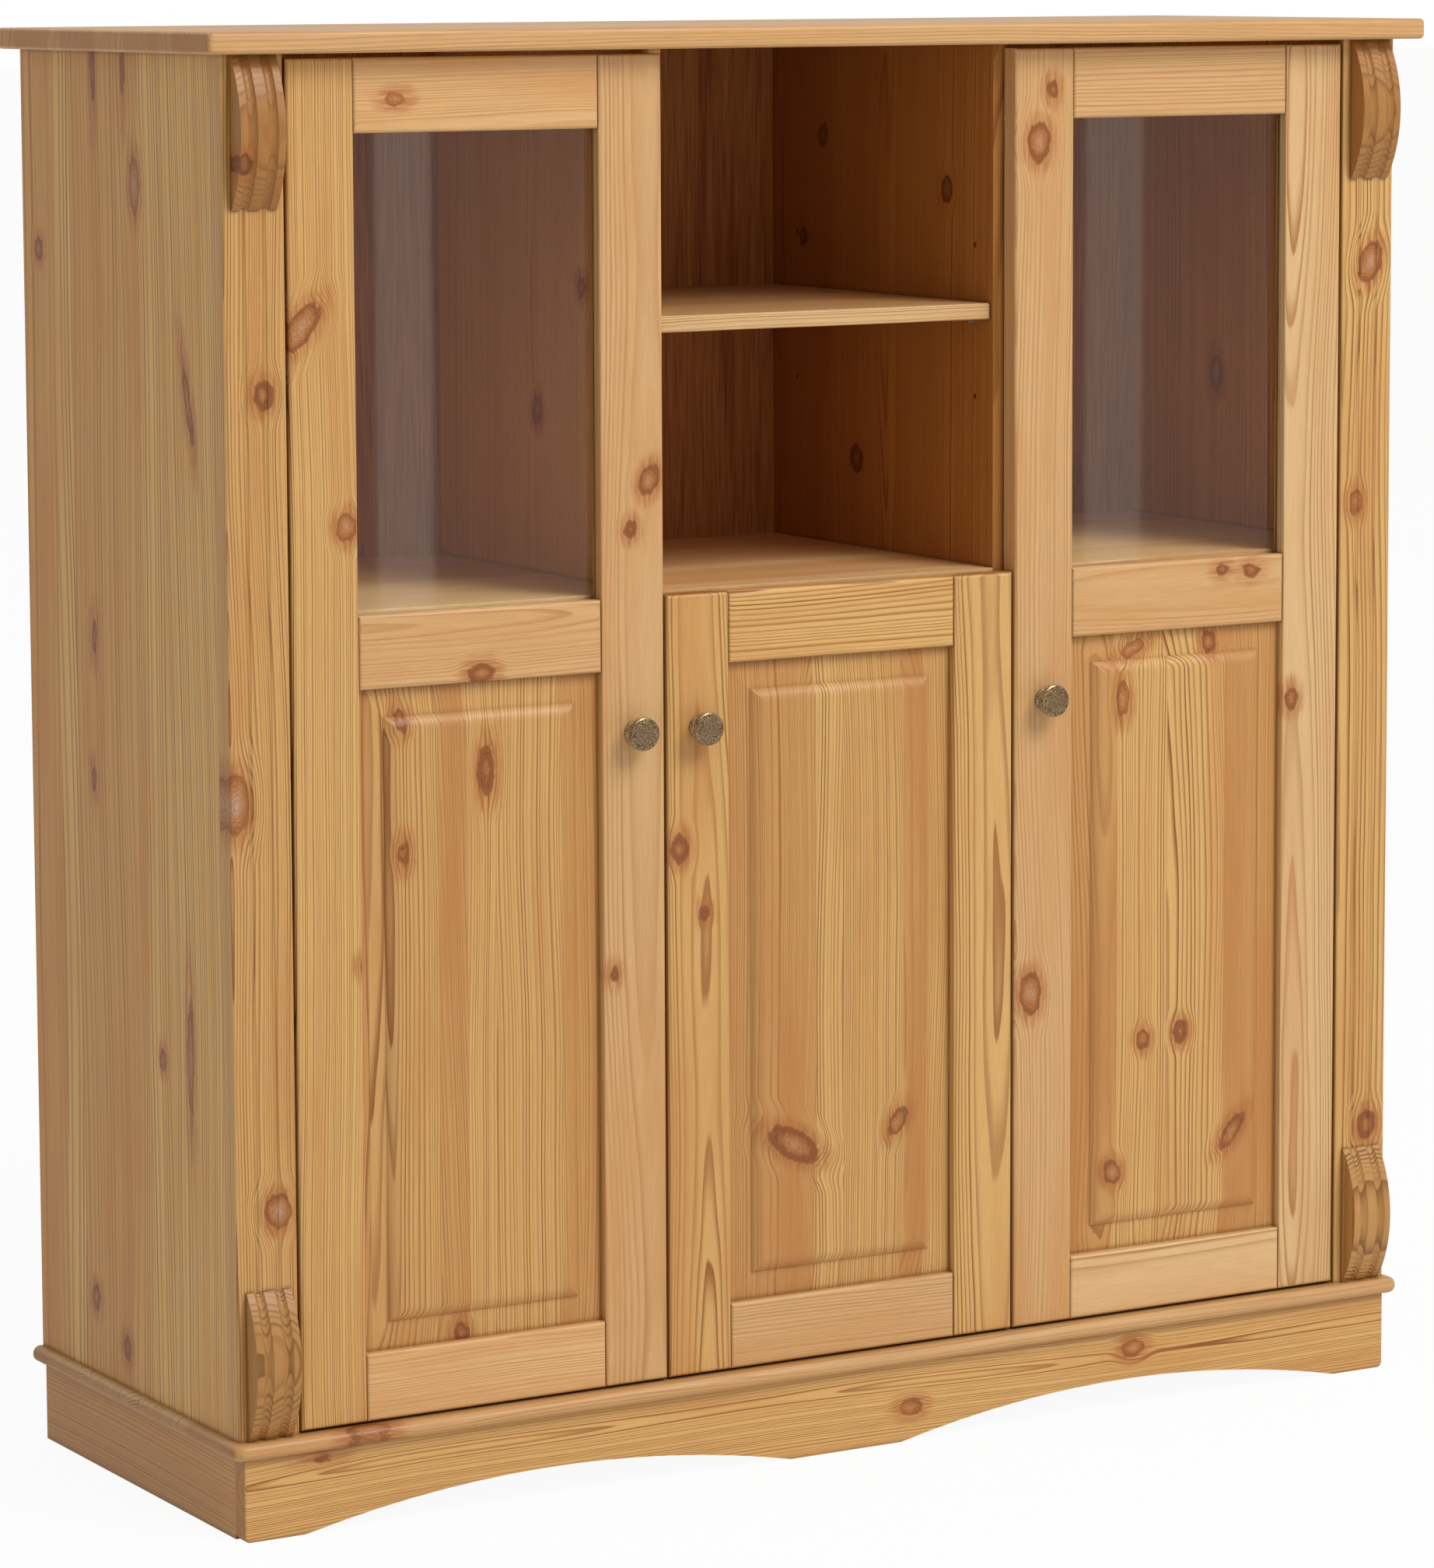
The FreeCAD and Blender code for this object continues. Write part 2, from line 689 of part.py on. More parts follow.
def make_rail(label, width, groove_low=False, groove_high=False, rebate_low=False, rebate_high=False):
    """Cross piece of a door frame with a tongue at each end; flags say which edges are cut."""
    body = new_body(label)
    length = DOOR_WIDTH - S.stile_width * 2
    tongue = S.groove_depth
    front = S.groove_setback
    rear = S.groove_setback + S.groove_width
    sketch = sketch_on(body, "XY_Plane")
    outline(sketch, [
        (ZERO, ZERO),
        (length, ZERO),
        (length, front),
        (length + tongue, front),
        (length + tongue, rear),
        (length, rear),
        (length, S.door_thickness),
        (ZERO, S.door_thickness),
        (ZERO, rear),
        (-tongue, rear),
        (-tongue, front),
        (ZERO, front),
    ])
    pad(body, sketch, width)
    start = -tongue - S.cut_overrun
    run = length + tongue * 2 + S.cut_overrun * 2
    low, high = -S.cut_overrun, width + S.cut_overrun
    pane_edge = S.door_thickness + S.cut_overrun
    for wanted, y0, y1, z0, z1 in (
        (groove_low, front, rear, low, S.groove_depth),
        (groove_high, front, rear, width - S.groove_depth, high),
        (rebate_low, S.pane_setback, pane_edge, low, S.pane_rebate_depth),
        (rebate_high, S.pane_setback, pane_edge, width - S.pane_rebate_depth, high),
    ):
        if wanted:
            sketch = sketch_on(body, "YZ_Plane", start)
            rectangle(sketch, y0, z0, y1, z1)
            cut(body, sketch, run, turned=True)
    round_edges(
        body,
        S.rail_edge_round,
        lambda box: same(box.YMin, 0) and same(box.YMax, 0),
    )
    return body


def make_raised_panel(label, opening_height):
    """Panel with a raised field: a border that slopes up from the frame and a hollow cove."""
    body = new_body(label)
    tongue = S.groove_depth - S.panel_play
    width = DOOR_WIDTH - S.stile_width * 2 + tongue * 2
    height = opening_height + tongue * 2
    thickness = S.groove_setback + S.groove_width - S.panel_field_setback
    sketch = sketch_on(body, "XZ_Plane")
    rectangle(sketch, ZERO, ZERO, width, height)
    pad(body, sketch, thickness, turned=True)
    edge_y = S.groove_setback - S.panel_field_setback
    cove_y = edge_y - S.panel_border_rise
    field = tongue + S.panel_border_width
    cove = field - S.panel_cove_width
    cove_width = S.panel_cove_width
    radius = (cove_width * cove_width + cove_y * cove_y) / (cove_y * 2)
    over = -S.cut_overrun
    # one side's waste: distance in from the edge, then depth behind the field
    waste = [(over, over), (field, over), (field, ZERO), (cove, cove_y), (tongue, edge_y), (over, edge_y)]
    for role, span, length in (("XY_Plane", width, height), ("YZ_Plane", height, width)):
        sketch = sketch_on(body, role, over)
        for far in (False, True):
            corners = []
            for place_in, depth in waste:
                along = span - place_in if far else place_in
                corner = (along, depth) if role == "XY_Plane" else (depth, along)
                corners.append(corner)
            # the cove is hollow on the side away from the wood
            hollow = 1 if far == (role == "XY_Plane") else -1
            corners[2] = corners[2] + (radius, hollow)
            outline(sketch, corners)
        cut(body, sketch, length + S.cut_overrun * 2, turned=True)
    return body


def make_pane(label, opening_height):
    """Glass pane in the rebates of the frame."""
    body = new_body(label)
    lap = S.pane_rebate_depth - S.pane_play
    sketch = sketch_on(body, "XZ_Plane")
    rectangle(sketch, -lap, -lap, DOOR_WIDTH - S.stile_width * 2 + lap, opening_height + lap)
    pad(body, sketch, S.pane_thickness, turned=True)
    return body


def make_beads(label, x, z, opening_height):
    """Four wooden beads that hold a pane in its rebate from behind."""
    opening = DOOR_WIDTH - S.stile_width * 2
    depth = S.door_thickness - S.pane_setback - S.pane_thickness
    outer = S.pane_rebate_depth
    inner = outer - S.bead_width
    beads = []
    for name, u0, v0, u1, v1 in (
        ("left_bead", -outer, -outer, -inner, opening_height + outer),
        ("right_bead", opening + inner, -outer, opening + outer, opening_height + outer),
        ("lower_bead", -inner, -outer, opening + inner, -inner),
        ("upper_bead", -inner, opening_height + inner, opening + inner, opening_height + outer),
    ):
        body = new_body(name)
        sketch = sketch_on(body, "XZ_Plane")
        rectangle(sketch, u0, v0, u1, v1)
        pad(body, sketch, depth, turned=True)
        place(body, x, FACE_Y + S.pane_setback + S.pane_thickness, z)
        beads.append(body)
    group(label, beads)


def make_knob(label):
    """Mushroom knob with a waisted stem; the origin is on the door's face."""
    knob = new_body(label)
    corners = [(ZERO, ZERO)]
    for across, out in KNOB_OUTLINE_SHARES:
        corners.append((S.knob_diameter * across / 2, -S.knob_projection * out))
    corners.append((ZERO, -S.knob_projection))
    sketch = sketch_on(knob, "XY_Plane")
    outline(sketch, corners)
    turned = knob.newObject("PartDesign::Revolution", knob.Name + "_turned")
    turned.Profile = sketch
    turned.ReferenceAxis = (sketch, ["V_Axis"])
    turned.Angle = 360
    return knob


def make_cup(name, way):
    """Hinge cup let into the stile: a round pan with a screw plate and the hinge pin across it.

    The origin is on the door's face at its hinge edge, at the height of the cup's centre.
    """
    body = new_body(name)
    floor = S.door_thickness - S.cup_depth
    sketch = sketch_on(body, "XZ_Plane", -S.door_thickness)
    circle(sketch, CUP_INSET * way, ZERO, S.cup_diameter)
    pad(body, sketch, S.cup_depth)
    sketch = sketch_on(body, "XZ_Plane", -S.door_thickness)
    half = S.cup_plate_length / 2
    rectangle(sketch, S.cup_plate_inset * way, -half, (S.cup_plate_inset + S.cup_plate_width) * way, half)
    pad(body, sketch, S.cup_plate_thickness, turned=True)
    rear = S.door_thickness + S.cup_plate_thickness
    round_edges(
        body,
        S.cup_plate_corner_round,
        lambda box: same(box.XMin, box.XMax) and same(abs(box.ZMin), half.value) and same(box.ZMin, box.ZMax),
    )
    hollow = S.cup_diameter - S.cup_wall * 2
    drill(body, "XZ_Plane", -rear, [(CUP_INSET * way, ZERO)], hollow,
          rear - floor - S.cup_wall, turned=True)
    offset = CUP_INSET - S.hinge_axis_inset
    chord_radius = S.cup_diameter / 2 - S.cup_wall / 2
    inside = chord_radius * chord_radius - offset * offset
    half_chord = Size(math.sqrt(inside.value), "sqrt(%s)" % inside.text)
    sketch = sketch_on(body, "XY_Plane", -half_chord)
    circle(sketch, S.hinge_axis_inset * way, S.hinge_axis_depth, S.hinge_pin_diameter)
    pad(body, sketch, half_chord * 2)
    # the pin's ends follow the round of the pan
    sketch = sketch_on(body, "XZ_Plane", -S.door_thickness)
    circle(sketch, CUP_INSET * way, ZERO, S.cup_diameter)
    circle(sketch, CUP_INSET * way, ZERO, S.cup_diameter + S.cut_overrun * 2)
    cut(body, sketch, S.cup_depth, turned=True)
    return body


def make_arm(name, way, on_partition):
    """Cranked hinge arm: an eye on the pin, a neck out of the cup, and a plate on the carcass.

    A strap lies on the rear of a pilaster, or a bent plate lies on the side of a partition.
    The origin is as for the cup.
    """
    body = new_body(name)
    half = S.arm_thickness / 2
    axis_x = S.hinge_axis_inset
    tip = axis_x + S.arm_neck_reach
    front = S.hinge_axis_depth - half
    neck_rear = S.hinge_axis_depth + half
    seat = S.door_thickness + S.door_rest_gap
    rear = seat + S.arm_thickness
    neck = [
        (axis_x, neck_rear),
        (axis_x, front),
        (tip, front),
        (tip, rear),
    ]
    if on_partition:
        wall = (S.partition_thickness - S.door_gap) / 2
        end = seat + S.arm_plate_length
        hold = [
            (wall + S.arm_thickness, rear),
            (wall + S.arm_thickness, end),
            (wall, end),
            (wall, seat),
        ]
    else:
        end = tip - S.arm_strap_length
        hold = [(end, rear), (end, seat)]
    last = [(tip - S.arm_thickness, seat), (tip - S.arm_thickness, neck_rear)]
    corners = [(u * way, v) for u, v in neck + hold + last]
    sketch = sketch_on(body, "XY_Plane", -S.arm_width / 2)
    outline(sketch, corners)
    pad(body, sketch, S.arm_width)
    sketch = sketch_on(body, "XY_Plane", -S.arm_width / 2)
    circle(sketch, axis_x * way, S.hinge_axis_depth, S.hinge_eye_diameter)
    pad(body, sketch, S.arm_width)
    bore = S.hinge_pin_diameter + S.hinge_pin_clearance * 2
    drill(body, "XY_Plane", -S.arm_width / 2 - S.cut_overrun, [(axis_x * way, S.hinge_axis_depth)],
          bore, S.arm_width + S.cut_overrun * 2, turned=True)
    return body


DOORS = (
    SimpleNamespace(name="left_door", left=-DOOR_PITCH * 3 / 2 + S.door_gap / 2,
                    height=TALL_DOOR_HEIGHT, glazed=True, hinge_left=True),
    SimpleNamespace(name="middle_door", left=-DOOR_WIDTH / 2,
                    height=LOW_DOOR_HEIGHT, glazed=False, hinge_left=False),
    SimpleNamespace(name="right_door", left=DOOR_PITCH / 2 + S.door_gap / 2,
                    height=TALL_DOOR_HEIGHT, glazed=True, hinge_left=False),
)


def frame_stretches(door):
    """Where a door's stiles are grooved and rebated, above the door's lower end."""
    middle_top = LOW_DOOR_HEIGHT
    if not door.glazed:
        return SimpleNamespace(grooves=[(ZERO, door.height)], rebates=[])
    pane_low = middle_top - S.pane_rebate_depth
    pane_high = door.height - S.rail_width + S.pane_rebate_depth
    grooves = [(ZERO, middle_top), (door.height - S.rail_width, door.height)]
    return SimpleNamespace(grooves=grooves, rebates=[(pane_low, pane_high)])


def make_door_frame(door):
    """Stiles and rails of a door."""
    stretches = frame_stretches(door)
    right = door.left + DOOR_WIDTH
    for side, x in (("left", door.left), ("right", right)):
        hinged = (side == "left") == door.hinge_left
        kind = "hinge_stile" if hinged else "knob_stile"
        stile = make_stile("%s_%s" % (door.name, kind), door.height, side == "left", hinged, stretches)
        finish(stile, x, FACE_Y, DOOR_BOTTOM_Z)
    rail_x = door.left + S.stile_width
    bottom = make_rail(door.name + "_bottom_rail", S.bottom_rail_width, groove_high=True)
    finish(bottom, rail_x, FACE_Y, DOOR_BOTTOM_Z)
    level = DOOR_BOTTOM_Z + LOW_DOOR_HEIGHT - S.rail_width
    if not door.glazed:
        top = make_rail(door.name + "_top_rail", S.rail_width, groove_low=True)
        finish(top, rail_x, FACE_Y, level)
        return
    middle = make_rail(door.name + "_middle_rail", S.rail_width, groove_low=True, rebate_high=True)
    finish(middle, rail_x, FACE_Y, level)
    top = make_rail(door.name + "_top_rail", S.rail_width, rebate_low=True)
    finish(top, rail_x, FACE_Y, DOOR_BOTTOM_Z + door.height - S.rail_width)


def make_door_fillings(door):
    """Raised panel of a door, and the pane with its beads where it is glazed."""
    tongue = S.groove_depth - S.panel_play
    x = door.left + S.stile_width
    opening = LOW_DOOR_HEIGHT - S.rail_width - S.bottom_rail_width
    panel = make_raised_panel(door.name + "_panel", opening)
    finish(panel, x - tongue, FACE_Y + S.panel_field_setback, DOOR_BOTTOM_Z + S.bottom_rail_width - tongue)
    if not door.glazed:
        return
    low = DOOR_BOTTOM_Z + LOW_DOOR_HEIGHT
    pane_height = door.height - S.rail_width - LOW_DOOR_HEIGHT
    pane = make_pane(door.name + "_glass", pane_height)
    finish(pane, x, FACE_Y + S.pane_setback, low)
    make_beads(door.name + "_glass_beads", x, low, pane_height)


def make_door_fittings(door):
    """Knob and hinge cups of a door."""
    way = 1 if door.hinge_left else -1
    hinge_x = door.left if door.hinge_left else door.left + DOOR_WIDTH
    knob_x = hinge_x + (DOOR_WIDTH - S.knob_edge_inset) * way
    finish(make_knob(door.name + "_knob"), knob_x, FACE_Y, S.knob_height)
    cups = []
    for level in hinge_levels(door.height):
        z = DOOR_BOTTOM_Z + level
        cup = make_cup(door.name + "_cup", way)
        place(cup, hinge_x, FACE_Y, z)
        cups.append(cup)
    group(door.name + "_hinge_cups", cups)


def make_hinge_arms():
    """Arms of all hinges, fixed to the pilasters and to the right partition."""
    arms = []
    for door in DOORS:
        way = 1 if door.hinge_left else -1
        hinge_x = door.left if door.hinge_left else door.left + DOOR_WIDTH
        for level in hinge_levels(door.height):
            z = DOOR_BOTTOM_Z + level
            arm = make_arm(door.name + "_arm", way, not door.glazed)
            place(arm, hinge_x, FACE_Y, z)
            arms.append(arm)
    group("hinge_arms", arms)


def make_door_buffers():
    """Soft discs on the partitions' front edges, behind the knob side of each door."""
    thickness = S.door_rest_gap - S.buffer_play
    lap = (S.partition_thickness - S.door_gap) / 4
    buffers = []
    for door in DOORS:
        way = -1 if door.hinge_left else 1
        knob_edge = door.left + DOOR_WIDTH if door.hinge_left else door.left
        for level in (S.buffer_end_inset, door.height - S.buffer_end_inset):
            body = new_body(door.name + "_buffer")
            sketch = sketch_on(body, "XZ_Plane")
            circle(sketch, ZERO, ZERO, S.buffer_diameter)
            pad(body, sketch, thickness)
            place(body, knob_edge + lap * way, FRAME_Y, DOOR_BOTTOM_Z + level)
            buffers.append(body)
    group("door_buffers", buffers)


def check_document():
    """Stop if a feature failed, a piece is not sound, or a cut took nothing away."""
    doc.recompute()
    failed = [item.Name for item in doc.Objects if "Invalid" in item.State or "Error" in item.State]
    if failed:
        raise RuntimeError("failed objects: " + ", ".join(failed))
    for piece in nodes:
        if piece.Shape.isNull() or not piece.Shape.isValid() or not piece.Shape.Solids:
            raise RuntimeError("unsound piece: " + piece.Label)
    for feature in cuts:
        before = feature.BaseFeature.Shape.Volume
        if feature.Shape.Volume >= before:
            raise RuntimeError("cut without effect: " + feature.Name)


def write_parts():
    """Write each piece to a file under its own name."""
    os.makedirs("parts", exist_ok=True)
    for piece in nodes:
        piece.Shape.exportStep("parts/%s.step" % piece.Label)


def make_highboard():
    """Build every piece from the floor up, then check and write them."""
    make_front_plinth()
    make_rear_and_side_plinth()
    make_bottom_panel()
    make_side_panels()
    make_partitions()
    make_back_panel()
    make_pilasters()
    make_corbels()
    make_fixed_shelves()
    make_niche_shelf()
    make_shelf_pins()
    make_top_panel()
    for door in DOORS:
        make_door_frame(door)
        make_door_fillings(door)
        make_door_fittings(door)
    make_hinge_arms()
    make_door_buffers()
    check_document()
    write_parts()


make_highboard()
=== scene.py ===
"""The highboard's looks: lacquered knotty pine, glazed doors, brass knobs and its small fasteners."""

import functools
import math

import bmesh
import bpy
from mathutils import Matrix, Vector


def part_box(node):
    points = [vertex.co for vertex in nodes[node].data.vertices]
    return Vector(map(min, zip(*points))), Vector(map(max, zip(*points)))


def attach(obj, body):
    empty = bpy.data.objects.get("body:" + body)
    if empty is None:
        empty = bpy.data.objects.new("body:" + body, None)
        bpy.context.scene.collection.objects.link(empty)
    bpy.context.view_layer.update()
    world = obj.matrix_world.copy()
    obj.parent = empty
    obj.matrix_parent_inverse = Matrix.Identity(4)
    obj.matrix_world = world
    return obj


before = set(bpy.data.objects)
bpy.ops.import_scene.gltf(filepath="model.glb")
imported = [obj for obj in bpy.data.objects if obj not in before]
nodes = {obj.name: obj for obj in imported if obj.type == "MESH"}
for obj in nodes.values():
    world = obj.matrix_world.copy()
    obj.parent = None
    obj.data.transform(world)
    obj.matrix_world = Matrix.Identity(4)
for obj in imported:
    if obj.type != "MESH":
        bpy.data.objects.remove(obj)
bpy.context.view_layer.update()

MM = 0.001
X_AXIS = 0
Y_AXIS = 1
Z_AXIS = 2
WHITE = "#FFFFFF"


def linear(colour):
    """An sRGB hex colour as linear red, green and blue with full alpha."""
    shares = [int(colour[i:i + 2], 16) / 255 for i in (1, 3, 5)]
    return [s / 12.92 if s <= 0.04045 else ((s + 0.055) / 1.055) ** 2.4 for s in shares] + [1.0]


def new_material(name):
    """An empty node material."""
    material = bpy.data.materials.new(name)
    material.use_nodes = True
    material.node_tree.nodes.clear()
    return material


def add(material, kind, links=None, stops=None, **settings):
    """Add a node with its settings, its links and a ramp's stops, and give back its outputs.

    Map Range takes the range in by sockets 1 and 2 and the range out by 3 and 4. Mix takes its colours by 6 and 7.
    """
    tree = material.node_tree
    node = tree.nodes.new("ShaderNode" + kind)
    for name, value in settings.items():
        setattr(node, name, value)
    for socket, value in (links or {}).items():
        if isinstance(value, bpy.types.NodeSocket):
            tree.links.new(value, node.inputs[socket])
        else:
            node.inputs[socket].default_value = value
    if stops:
        ramp = node.color_ramp.elements
        while len(ramp) < len(stops):
            ramp.new(1.0)
        for element, (position, colour) in zip(ramp, stops):
            element.position = position
            element.color = linear(colour)
    return node.outputs


# Lacquered pine: pale early wood, tan late wood, and a warm orange flush where resin has gathered.
HONEY = {"early": "#DEB985", "late": "#A66C30", "flush": "#CF995E", "knot_tone": 1.0}
# Boards nearer the heart of the log are a deeper amber.
AMBER = {"early": "#DAAC68", "late": "#8A4C16", "flush": "#C48446", "knot_tone": 1.0}
# The corbels are cut from browner wood with wider rings.
BROWN = {"early": "#C08E50", "late": "#6A3C14", "flush": "#A66E32", "knot_tone": 0.7}
# The tall sides have bolder rings.
BOLD = {"early": "#E0B066", "late": "#7C4410", "flush": "#CA8840", "knot_tone": 0.95}
# Painted shade: the right partition, whose left face is the niche's right wall in shade, gets darker, redder colours
# and darker knots.
PAINTED_SHADE_PINE = {"early": "#BC7E3C", "late": "#8E501A", "flush": "#A86228", "knot_tone": 0.5}
END_GRAIN = "#D9C4A6"

# Noise seldom leaves this range.
NOISE_LOW = 0.3
NOISE_HIGH = 0.7

# Year rings: their spacing, which differs from strip to strip, and where late wood starts and peaks in a year.
RING_MM = 3.0
SIDE_RING_MM = 6.0
CORBEL_RING_MM = 3.4
CLOSE_RINGS = 1.5
OPEN_RINGS = 0.7
LATE_WOOD_START = 0.4
LATE_WOOD_PEAK = 0.92
# Good and bad years: how many years a spell of them lasts, and by how many rings it shifts the others.
SPELL_YEARS = 4.0
SPELL_SHIFT = 2.4
# How deep the log's pith lies behind a board's face, and how far that differs from board to board.
PITH_MM = 10.0
PITH_SPREAD_MM = 50.0
CORBEL_PITH_MM = 160.0
# The log is never quite straight, so its rings come and go along a board as arches, and they waver.
BEND_LENGTH_MM = 620.0
BEND_SIDE_MM = 36.0
BEND_DEPTH_MM = 36.0
WAVER_LENGTH_MM = 160.0
WAVER_WIDTH_MM = 16.0
WAVER_MM = 2.4
FIBRE_LENGTH_MM = 26.0
# True fibres are far thinner than this: they are drawn as coarse as the picture can show.
FIBRE_WIDTH_MM = 0.7
# How far the painted shade reaches out of grooves, corners and gaps between parts.
CREVICE_SHADE_MM = 4.0

# Glued strips: where a piece's first one starts, how uneven their widths are, and their thin dark joints.
STRIP_START = 0.381
STRIP_STEP = 7.0
STRIP_WAVE = 2.5
STRIP_UNEVEN = 0.33
JOINT_MM = 0.6
JOINT_TONE = 0.92

# Round a knot the grain parts: most within its edge, and no more beyond this many of its radii.
PARTED_RADII = 2.7
PARTED_FROM_RADII = 0.7
PARTED_SHARE = 0.8
ANY_DEPTH_MM = 100000.0
# A knot's edge is ragged. Inside lie the twig's rings, round it resin that feathers out along the grain.
RAGGED_LENGTH_MM = 10.0
RAGGED_WIDTH_MM = 5.0
RAGGED_MM = 7.0
RIM_MM = 1.1
TWIG_RADIANS_PER_MM = 3.4
HEART_MM = 12.0
HEART = [(0.0, "#C09A86"), (0.42, "#BA875E"), (0.68, "#B67640"), (0.9, "#A66430"), (1.0, "#905226")]
HALO_MM = 12.0
HALO_SHARE = 0.78
FEATHER_LENGTH_MM = 45.0
FEATHER_WIDTH_MM = 2.4
RESIN = "#B0662C"


def drawn_out(wood, grain, log, length_mm, width_mm, detail):
    """Noise drawn out along the grain."""
    place = wood("Mapping", {"Vector": grain, "Location": (log * 5.3, log * 3.7, 0.5),
                             "Scale": (1 / length_mm, 1 / width_mm, 1 / width_mm)})[0]
    return wood("TexNoise", {"Vector": place, "Scale": 1.0, "Detail": detail})[0]


def part_round_knots(wood, noise, grain, middle_along, middle_across, knots):
    """The grain parted round the knots, and the mm outside the nearest knot's ragged edge, negative inside it."""
    parted = grain
    knot = None
    for place_along, place_across, knot_radius, length_share, tilt in knots:
        spot = wood("Mapping", {
            "Vector": grain, "Location": (place_along - middle_along, place_across - middle_across, 0.0),
            "Rotation": (0.0, 0.0, math.radians(tilt)),
            "Scale": (knot_radius * length_share, knot_radius, ANY_DEPTH_MM)}, vector_type="TEXTURE")[0]
        reach = wood("VectorMath", {0: spot}, operation="LENGTH")["Value"]
        edge = wood("Math", {0: reach, 1: knot_radius, 2: -knot_radius}, operation="MULTIPLY_ADD")[0]
        knot = edge if knot is None else wood("Math", {0: knot, 1: edge}, operation="MINIMUM")[0]
        pull = wood("MapRange", {0: reach, 1: PARTED_FROM_RADII, 2: PARTED_RADII, 3: -PARTED_SHARE, 4: 0.0},
                    interpolation_type="SMOOTHSTEP")[0]
        pulled = wood("VectorMath", {0: spot, "Scale": pull}, operation="SCALE")[0]
        parted = wood("VectorMath", {0: pulled, 1: (0.0, knot_radius, 0.0), 2: parted},
                      operation="MULTIPLY_ADD")[0]
    if knot is not None:
        ragged = noise(RAGGED_LENGTH_MM, RAGGED_WIDTH_MM, 3.0)
        knot = wood("Math", {0: ragged, 1: RAGGED_MM, 2: knot}, operation="MULTIPLY_ADD")[0]
        knot = wood("Math", {0: knot, 1: RAGGED_MM / 2}, operation="SUBTRACT")[0]
    return parted, knot


def glue_strips(wood, place_across, board_mm, log):
    """Glued strips of uneven width: each one's own number, and a tone that darkens the joints between them."""
    even = wood("Math", {0: place_across, 1: 1 / board_mm, 2: log * STRIP_START % 1}, operation="MULTIPLY_ADD")[0]
    wave = wood("Math", {0: wood("Math", {0: even, 1: STRIP_WAVE}, operation="MULTIPLY")[0]}, operation="SINE")[0]
    strips = wood("Math", {0: wave, 1: STRIP_UNEVEN, 2: even}, operation="MULTIPLY_ADD")[0]
    strip = wood("Math", {0: wood("Math", {0: strips}, operation="FLOOR")[0], 1: log * STRIP_STEP},
                 operation="ADD")[0]
    beside = wood("Math", {0: strips, 1: 0.5}, operation="PINGPONG")[0]
    joint_share = JOINT_MM / board_mm
    joint = wood("MapRange", {0: beside, 1: 0.2 * joint_share, 2: joint_share, 3: JOINT_TONE, 4: 1.0})[0]
    return strip, joint


def colour_knots(wood, noise, colour, knot, knot_tone):
    """Resin runs out of a knot along the grain, and its heart is grey or red with the twig's rings."""
    feather = noise(FEATHER_LENGTH_MM, FEATHER_WIDTH_MM, 2.0)
    feather = wood("MapRange", {0: feather, 1: 0.36, 2: 0.62, 3: 0.3, 4: 1.0})[0]
    halo = wood("MapRange", {0: knot, 1: 0.0, 2: HALO_MM, 3: HALO_SHARE, 4: 0.0},
                interpolation_type="SMOOTHERSTEP")[0]
    halo = wood("Math", {0: halo, 1: feather}, operation="MULTIPLY")[0]
    colour = wood("Mix", {0: halo, 6: colour, 7: linear(RESIN)}, data_type="RGBA")[2]
    depth = wood("MapRange", {0: knot, 1: -HEART_MM, 2: 0.0, 3: 0.0, 4: 1.0})[0]
    redder = wood("MapRange", {0: noise(90.0, 60.0, 0.0), 1: NOISE_LOW, 2: NOISE_HIGH, 3: 0.02, 4: 0.4})[0]
    depth = wood("Math", {0: depth, 1: redder}, operation="ADD")[0]
    heart = wood("ValToRGB", {0: depth}, stops=HEART)[0]
    twig = wood("Math", {0: knot, 1: TWIG_RADIANS_PER_MM}, operation="MULTIPLY")[0]
    twig = wood("Math", {0: twig}, operation="SINE")[0]
    twig = wood("MapRange", {0: twig, 1: -1.0, 2: 1.0, 3: 0.78 * knot_tone, 4: 1.14 * knot_tone})[0]
    heart = wood("HueSaturation", {"Value": twig, "Color": heart})[0]
    inside = wood("MapRange", {0: knot, 1: -RIM_MM, 2: RIM_MM, 3: 0.92, 4: 0.0}, interpolation_type="SMOOTHSTEP")[0]
    return wood("Mix", {0: inside, 6: colour, 7: heart}, data_type="RGBA")[2]


